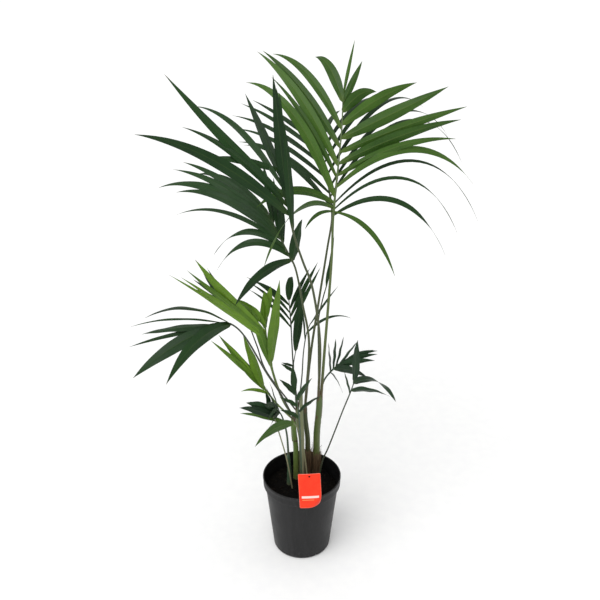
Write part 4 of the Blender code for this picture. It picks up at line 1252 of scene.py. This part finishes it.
def applyModifiers(piece):
    bpy.context.view_layer.update()
    done = bpy.data.meshes.new_from_object(piece.evaluated_get(bpy.context.evaluated_depsgraph_get()))
    piece.modifiers.clear()
    piece.data = done


makePot(plasticMaterial())
print("pot turned, %d drain notches" % pot["drains"])


# soil

soil = {
    "sides": 120, "rings": 34, "below": 0.030, "lumps": 0.0022, "grit": 0.0009, "chips": 620,
    "shoulder": 0.004,
}


def soilMaterial(name, deep, light, fleck):
    made, tree, shader = newMaterial(name, {"Roughness": 0.95, "Specular IOR Level": 0.06})
    place = objectPlace(tree)
    tone = marked(tree, "tone")
    clumps = useGroup(tree, mottleGroup, {"Vector": place, "Scale": 120.0, "Contrast": 0.5})["Mask"]
    grit = noiseOf(tree, place, 900.0, 5.0, 0.7)
    clumpTone = sums(tree, "MULTIPLY_ADD", clumps, 0.5, scaled(tree, tone, 0.5))
    colour = blendColours(tree, clumpTone, deep, light)
    colour = blendColours(tree, remap(tree, grit, 0.62, 0.75), colour, fleck)
    join(tree, colour, shader.inputs["Base Color"])
    join(tree, remap(tree, clumps, 0.0, 1.0, 0.80, 0.98), shader.inputs["Roughness"])
    bumpInto(tree, shader, sums(tree, "ADD", grit, clumps), 0.8, 0.0014)
    return made


def soilHeight(x, y):
    reach = math.hypot(x, y) / rimRadius
    lump = noise.fractal(Vector((x * 34, y * 34, 0.3)), 0.7, 2.1, 4) * soil["lumps"]
    grit = noise.fractal(Vector((x * 210, y * 210, 4.1)), 0.8, 2.0, 3) * soil["grit"]
    return soilTop - 0.0006 + lump + grit - soil["shoulder"] * easeBetween(0.66, 0.95, reach)


def makeSoil(finish):
    bm = bmesh.new()
    layers = markLayers(bm, ("tone",))
    edge = wallRadius(soilTop - soil["shoulder"]) - pot["wall"] - 0.0003
    floorHeight = soilTop - soil["below"]
    middle = ringOf(bm, layers, [Vector((0, 0, soilHeight(0, 0)))], [{"tone": 0.4}])[0]
    before = None
    for ring in range(1, soil["rings"] + 1):
        radius = edge * (ring / soil["rings"]) ** 0.9
        points, marks = [], []
        for side in range(soil["sides"]):
            turn = math.tau * (side + 0.5 * (ring % 2)) / soil["sides"]
            x, y = radius * math.cos(turn), radius * math.sin(turn)
            points.append(Vector((x, y, soilHeight(x, y))))
            marks.append({"tone": 0.5 + 0.5 * noise.noise(Vector((x * 90, y * 90, 0)))})
        row = ringOf(bm, layers, points, marks)
        if before:
            bridge(bm, before, row)
        else:
            for index in range(soil["sides"]):
                bm.faces.new((middle, row[index], row[(index + 1) % soil["sides"]]))
        before = row
    low = wallRadius(floorHeight) - pot["wall"] - 0.0003
    points = [Vector((vert.co.x * low / edge, vert.co.y * low / edge, floorHeight)) for vert in before]
    base = ringOf(bm, layers, points, [{"tone": 0.3}] * len(points))
    bridge(bm, before, base)
    bm.faces.new(base)
    pieceFrom("soil_bed", bm, finish, ["soil"], 180)


def clearOfStems(x, y):
    for stem in stems.values():
        if math.hypot(x - stem["seat"][0], y - stem["seat"][1]) < stem["radii"][0] + 0.002:
            return False
    return True


def makeChips(name, finish, count, sizes, seed):
    draw = random.Random(seed)
    bm = bmesh.new()
    layers = markLayers(bm, ("tone",))
    made = 0
    while made < count:
        reach, turn = math.sqrt(draw.random()) * (rimRadius - 0.017), draw.uniform(0, math.tau)
        x, y = reach * math.cos(turn), reach * math.sin(turn)
        if not clearOfStems(x, y):
            continue
        size = draw.uniform(*sizes)
        tone = draw.random()
        wide, deep, tall = draw.uniform(0.8, 1.8), draw.uniform(0.5, 1.0), draw.uniform(0.25, 0.6)
        flat = Matrix.Diagonal((size * wide, size * deep, size * tall, 1))
        spin = Matrix.Rotation(draw.uniform(0, math.tau), 4, "Z")
        spin = spin @ Matrix.Rotation(draw.uniform(-0.5, 0.5), 4, "X")
        place = Matrix.Translation((x, y, soilHeight(x, y) + size * 0.12)) @ spin @ flat
        grown = bmesh.ops.create_icosphere(bm, subdivisions=1, radius=0.5)["verts"]
        for vert in grown:
            vert.co *= draw.uniform(0.72, 1.12)
            vert.co = place @ vert.co
            vert[layers["tone"]] = tone
        made += 1
    pieceFrom(name, bm, finish, (), 25)


peatFinish = soilMaterial(
    "damp_peat", (0.0015, 0.0013, 0.0012, 1), (0.005, 0.0043, 0.0036, 1), (0.012, 0.010, 0.008, 1))
barkFinish = soilMaterial(
    "bark_chips", (0.003, 0.0025, 0.002, 1), (0.012, 0.0095, 0.007, 1), (0.022, 0.018, 0.014, 1))
makeSoil(peatFinish)
makeChips("bark_pieces", barkFinish, soil["chips"] // 3, (0.0035, 0.0085), 11)
makeChips("peat_crumbs", peatFinish, soil["chips"], (0.0012, 0.0035), 12)
print("soil laid")


# label: a card with a hole and a bent corner, held by a tongue over the lip

label = {
    "width": 0.058, "height": 0.098, "thick": 0.0006, "corner": 0.003, "hole": 0.0024, "holeDrop": 0.008,
    "lean": 11, "turn": 3, "centreX": 0.021, "offRim": 0.003, "belowRim": 0.022, "columns": 44, "rows": 72,
    "bow": 0.0016, "bentReach": 0.020, "bentBack": 0.006, "bentIn": 0.003,
    "tongueWide": 0.014, "tongueThick": 0.0008,
    "tongueClear": 0.0015, "tongueReach": 0.0115, "tongueDrop": 0.014,
}


def cardMaterial():
    made, tree, shader = newMaterial("printed_card", {"Specular IOR Level": 0.2, "Coat Roughness": 0.22})
    place = objectPlace(tree)
    x, y, rim = marked(tree, "cardX"), marked(tree, "cardY"), marked(tree, "rim")
    paper = noiseOf(tree, place, 1600.0, 3.0)
    clouds = useGroup(tree, mottleGroup, {"Vector": place, "Scale": 60.0, "Contrast": 0.7})["Mask"]
    colour = blendColours(tree, clouds, (0.84, 0.030, 0.006, 1), (0.88, 0.040, 0.009, 1))
    inBar = scaled(tree, remap(tree, sums(tree, "ABSOLUTE", x), 0.0226, 0.0222),
                 remap(tree, sums(tree, "ABSOLUTE", sums(tree, "ADD", y, 0.0180)), 0.0034, 0.0031))
    colour = blendColours(tree, scaled(tree, inBar, 0.85), colour, (0.86, 0.74, 0.68, 1))
    inLine = scaled(tree, remap(tree, sums(tree, "ABSOLUTE", sums(tree, "ADD", x, 0.006)), 0.0156, 0.0152),
                  remap(tree, sums(tree, "ABSOLUTE", sums(tree, "ADD", y, 0.0262)), 0.0010, 0.0008))
    colour = blendColours(tree, scaled(tree, inLine, 0.6), colour, (0.85, 0.42, 0.16, 1))
    colour = blendColours(tree, scaled(tree, rim, 0.55), colour, (0.90, 0.42, 0.32, 1))
    grain = scaled(tree, remap(tree, paper, 0.5, 0.8), 0.10)
    colour = blendColours(tree, grain, colour, (0.9, 0.35, 0.25, 1))
    join(tree, colour, shader.inputs["Base Color"])
    join(tree, remap(tree, clouds, 0.0, 1.0, 0.34, 0.46), shader.inputs["Roughness"])
    join(tree, remap(tree, rim, 0.0, 1.0, 0.08, 0.0), shader.inputs["Coat Weight"])
    bumpInto(tree, shader, sums(tree, "MULTIPLY_ADD", paper, 0.3, clouds), 0.12, 0.0004)
    return made


def labelPlace():
    below = label["height"] / 2 - label["belowRim"]
    lean = math.radians(label["lean"])
    out = rimRadius + label["offRim"] - math.sin(lean) * below
    middle = Vector((label["centreX"], -out, potHeight + below * math.cos(lean)))
    tilt = Matrix.Rotation(math.pi / 2 - lean, 4, "X")
    return Matrix.Translation(middle) @ tilt @ Matrix.Rotation(math.radians(label["turn"]), 4, "Z")


def extrudeUp(bm, faces, height):
    grown = bmesh.ops.extrude_face_region(bm, geom=faces, use_keep_orig=True)["geom"]
    raised = [part for part in grown if isinstance(part, bmesh.types.BMVert)]
    bmesh.ops.translate(bm, verts=raised, vec=(0, 0, height))


def prismCutter(name, outline):
    bm = bmesh.new()
    face = bm.faces.new([bm.verts.new((x, y, -0.01)) for x, y in outline])
    extrudeUp(bm, [face], 0.02)
    bmesh.ops.recalc_face_normals(bm, faces=bm.faces)
    mesh = bpy.data.meshes.new(name)
    bm.to_mesh(mesh)
    bm.free()
    cutter = bpy.data.objects.new(name, mesh)
    bpy.context.scene.collection.objects.link(cutter)
    return cutter


def makeLabel(finish):
    wide, tall, thick, corner = label["width"] / 2, label["height"] / 2, label["thick"] / 2, label["corner"]
    bm = bmesh.new()
    grid = bmesh.ops.create_grid(bm, x_segments=label["columns"], y_segments=label["rows"], size=1.0)["verts"]
    for vert in grid:
        vert.co = Vector((vert.co.x * wide, vert.co.y * tall, -thick))
    extrudeUp(bm, bm.faces[:], thick * 2)
    piece = pieceFrom("plant_label", bm, finish, ["label_card"], 30)
    outline = []
    for index, (side, end) in enumerate(((1, 1), (-1, 1), (-1, -1), (1, -1))):
        for step in range(7):
            turn = math.radians(90 * index + 15 * step)
            outline.append((side * (wide - 0.00005 - corner) + corner * math.cos(turn),
                            end * (tall - 0.00005 - corner) + corner * math.sin(turn)))
    hole = [(label["hole"] * math.cos(math.tau * step / 24),
             tall - label["holeDrop"] + label["hole"] * math.sin(math.tau * step / 24)) for step in range(24)]
    trims = [
        (prismCutter("cardOutline", outline), "INTERSECT"), (prismCutter("cardHole", hole), "DIFFERENCE"),
    ]
    for cutter, operation in trims:
        cut = piece.modifiers.new(cutter.name, "BOOLEAN")
        cut.operation, cut.object = operation, cutter
    applyModifiers(piece)
    for cutter, _ in trims:
        bpy.data.objects.remove(cutter)
    bendCard(piece.data, wide, tall)
    return piece


def bendCard(mesh, wide, tall):
    place = labelPlace()
    bm = bmesh.new()
    bm.from_mesh(mesh)
    layers = markLayers(bm, ("cardX", "cardY", "rim"))
    for vert in bm.verts:
        x, y, z = vert.co
        vert[layers["cardX"]], vert[layers["cardY"]] = x, y
        vert[layers["rim"]] = 1.0 if min(wide - abs(x), tall - abs(y)) < 0.0008 else 0.0
        bow = label["bow"] * (1 - (x / wide) ** 2) + 0.0006 * math.sin(y / tall * 2.2)
        toCorner = (x - (wide - label["bentReach"])) * 0.75 - (y + tall - label["bentReach"]) * 0.66
        bent = max(0.0, toCorner) / label["bentReach"]
        pull = bent ** 2 * label["bentIn"]
        vert.co = place @ Vector((x - pull, y + pull, z + bow - bent ** 2 * label["bentBack"]))
    bm.to_mesh(mesh)
    bm.free()


def makeTongue(finish):
    over = potHeight + label["tongueClear"]
    front = -rimRadius - label["offRim"] + 0.0012
    back = -rimRadius + label["tongueReach"]
    thick = label["tongueThick"]
    top = over + thick / 2
    path = [(front, top), (back - 0.002, top), (back - 0.0006, top - 0.0006), (back, over - 0.002),
            (back, potHeight - label["tongueDrop"])]
    bm = bmesh.new()
    layers = markLayers(bm, ("cardX", "cardY", "rim"))
    before = None
    for index, (y, z) in enumerate(path):
        wide = label["tongueWide"] / 2 * (1 - 0.25 * (index == len(path) - 1))
        ahead = Vector((0, *path[min(index + 1, len(path) - 1)])) - Vector((0, *path[max(index - 1, 0)]))
        off = Vector((0, -ahead.z, ahead.y)).normalized() * thick / 2
        middle = Vector((label["centreX"], y, z))
        side = Vector((wide, 0, 0))
        corners = [middle - side + off, middle + side + off, middle + side - off, middle - side - off]
        ring = ringOf(bm, layers, corners, [{"cardX": 1.0, "cardY": 1.0, "rim": 0.3}] * 4)
        if before:
            bridge(bm, before, ring)
        else:
            bm.faces.new(ring[::-1])
        before = ring
    bm.faces.new(before)
    pieceFrom("label_tongue", bm, finish, ["label_card"], 30)


cardFinish = cardMaterial()
makeLabel(cardFinish)
makeTongue(cardFinish)
print("label hung on the rim")


# floor, lights and camera

studio = {
    "floorSize": 60, "floorColour": (0.90, 0.90, 0.895, 1), "sky": 0.72,
    "sun": {"from": (-0.55, -0.75, 1.35), "strength": 1.9, "spread": 55},
    "camera": {"place": (-0.005, -1.952, 1.751), "tilt": 27, "lens": 54},
}


def floorMaterial():
    made, tree, shader = newMaterial("studio_floor", {"Roughness": 0.7, "Specular IOR Level": 0.1})
    speckle = noiseOf(tree, objectPlace(tree), 30.0, 3.0)
    tint = blendColours(tree, remap(tree, speckle, 0.3, 0.7), studio["floorColour"], (0.88, 0.88, 0.88, 1))
    join(tree, tint, shader.inputs["Base Color"])
    return made


def makeFloor():
    bm = bmesh.new()
    bmesh.ops.create_grid(bm, x_segments=4, y_segments=4, size=studio["floorSize"] / 2)
    mesh = bpy.data.meshes.new("floor")
    bm.to_mesh(mesh)
    bm.free()
    mesh.materials.append(floorMaterial())
    floor = bpy.data.objects.new("floor", mesh)
    bpy.context.scene.collection.objects.link(floor)


def makeSun(values):
    data = bpy.data.lights.new("sun", "SUN")
    data.energy = values["strength"]
    data.angle = math.radians(values["spread"])
    sun = bpy.data.objects.new("sun", data)
    bpy.context.scene.collection.objects.link(sun)
    sun.rotation_euler = Vector(values["from"]).to_track_quat("Z", "Y").to_euler()


def makeCamera(values):
    data = bpy.data.cameras.new("camera")
    data.lens = values["lens"]
    data.sensor_width = 36
    camera = bpy.data.objects.new("camera", data)
    bpy.context.scene.collection.objects.link(camera)
    camera.location = values["place"]
    camera.rotation_euler = (math.radians(90 - values["tilt"]), 0, 0)
    bpy.context.scene.camera = camera


makeFloor()
makeSun(studio["sun"])
sky = bpy.data.worlds.new("sky")
sky.use_nodes = True
sky.node_tree.nodes["Background"].inputs["Color"].default_value = (1, 1, 1, 1)
sky.node_tree.nodes["Background"].inputs["Strength"].default_value = studio["sky"]
bpy.context.scene.world = sky
bpy.context.scene.view_settings.view_transform = "Standard"
makeCamera(studio["camera"])
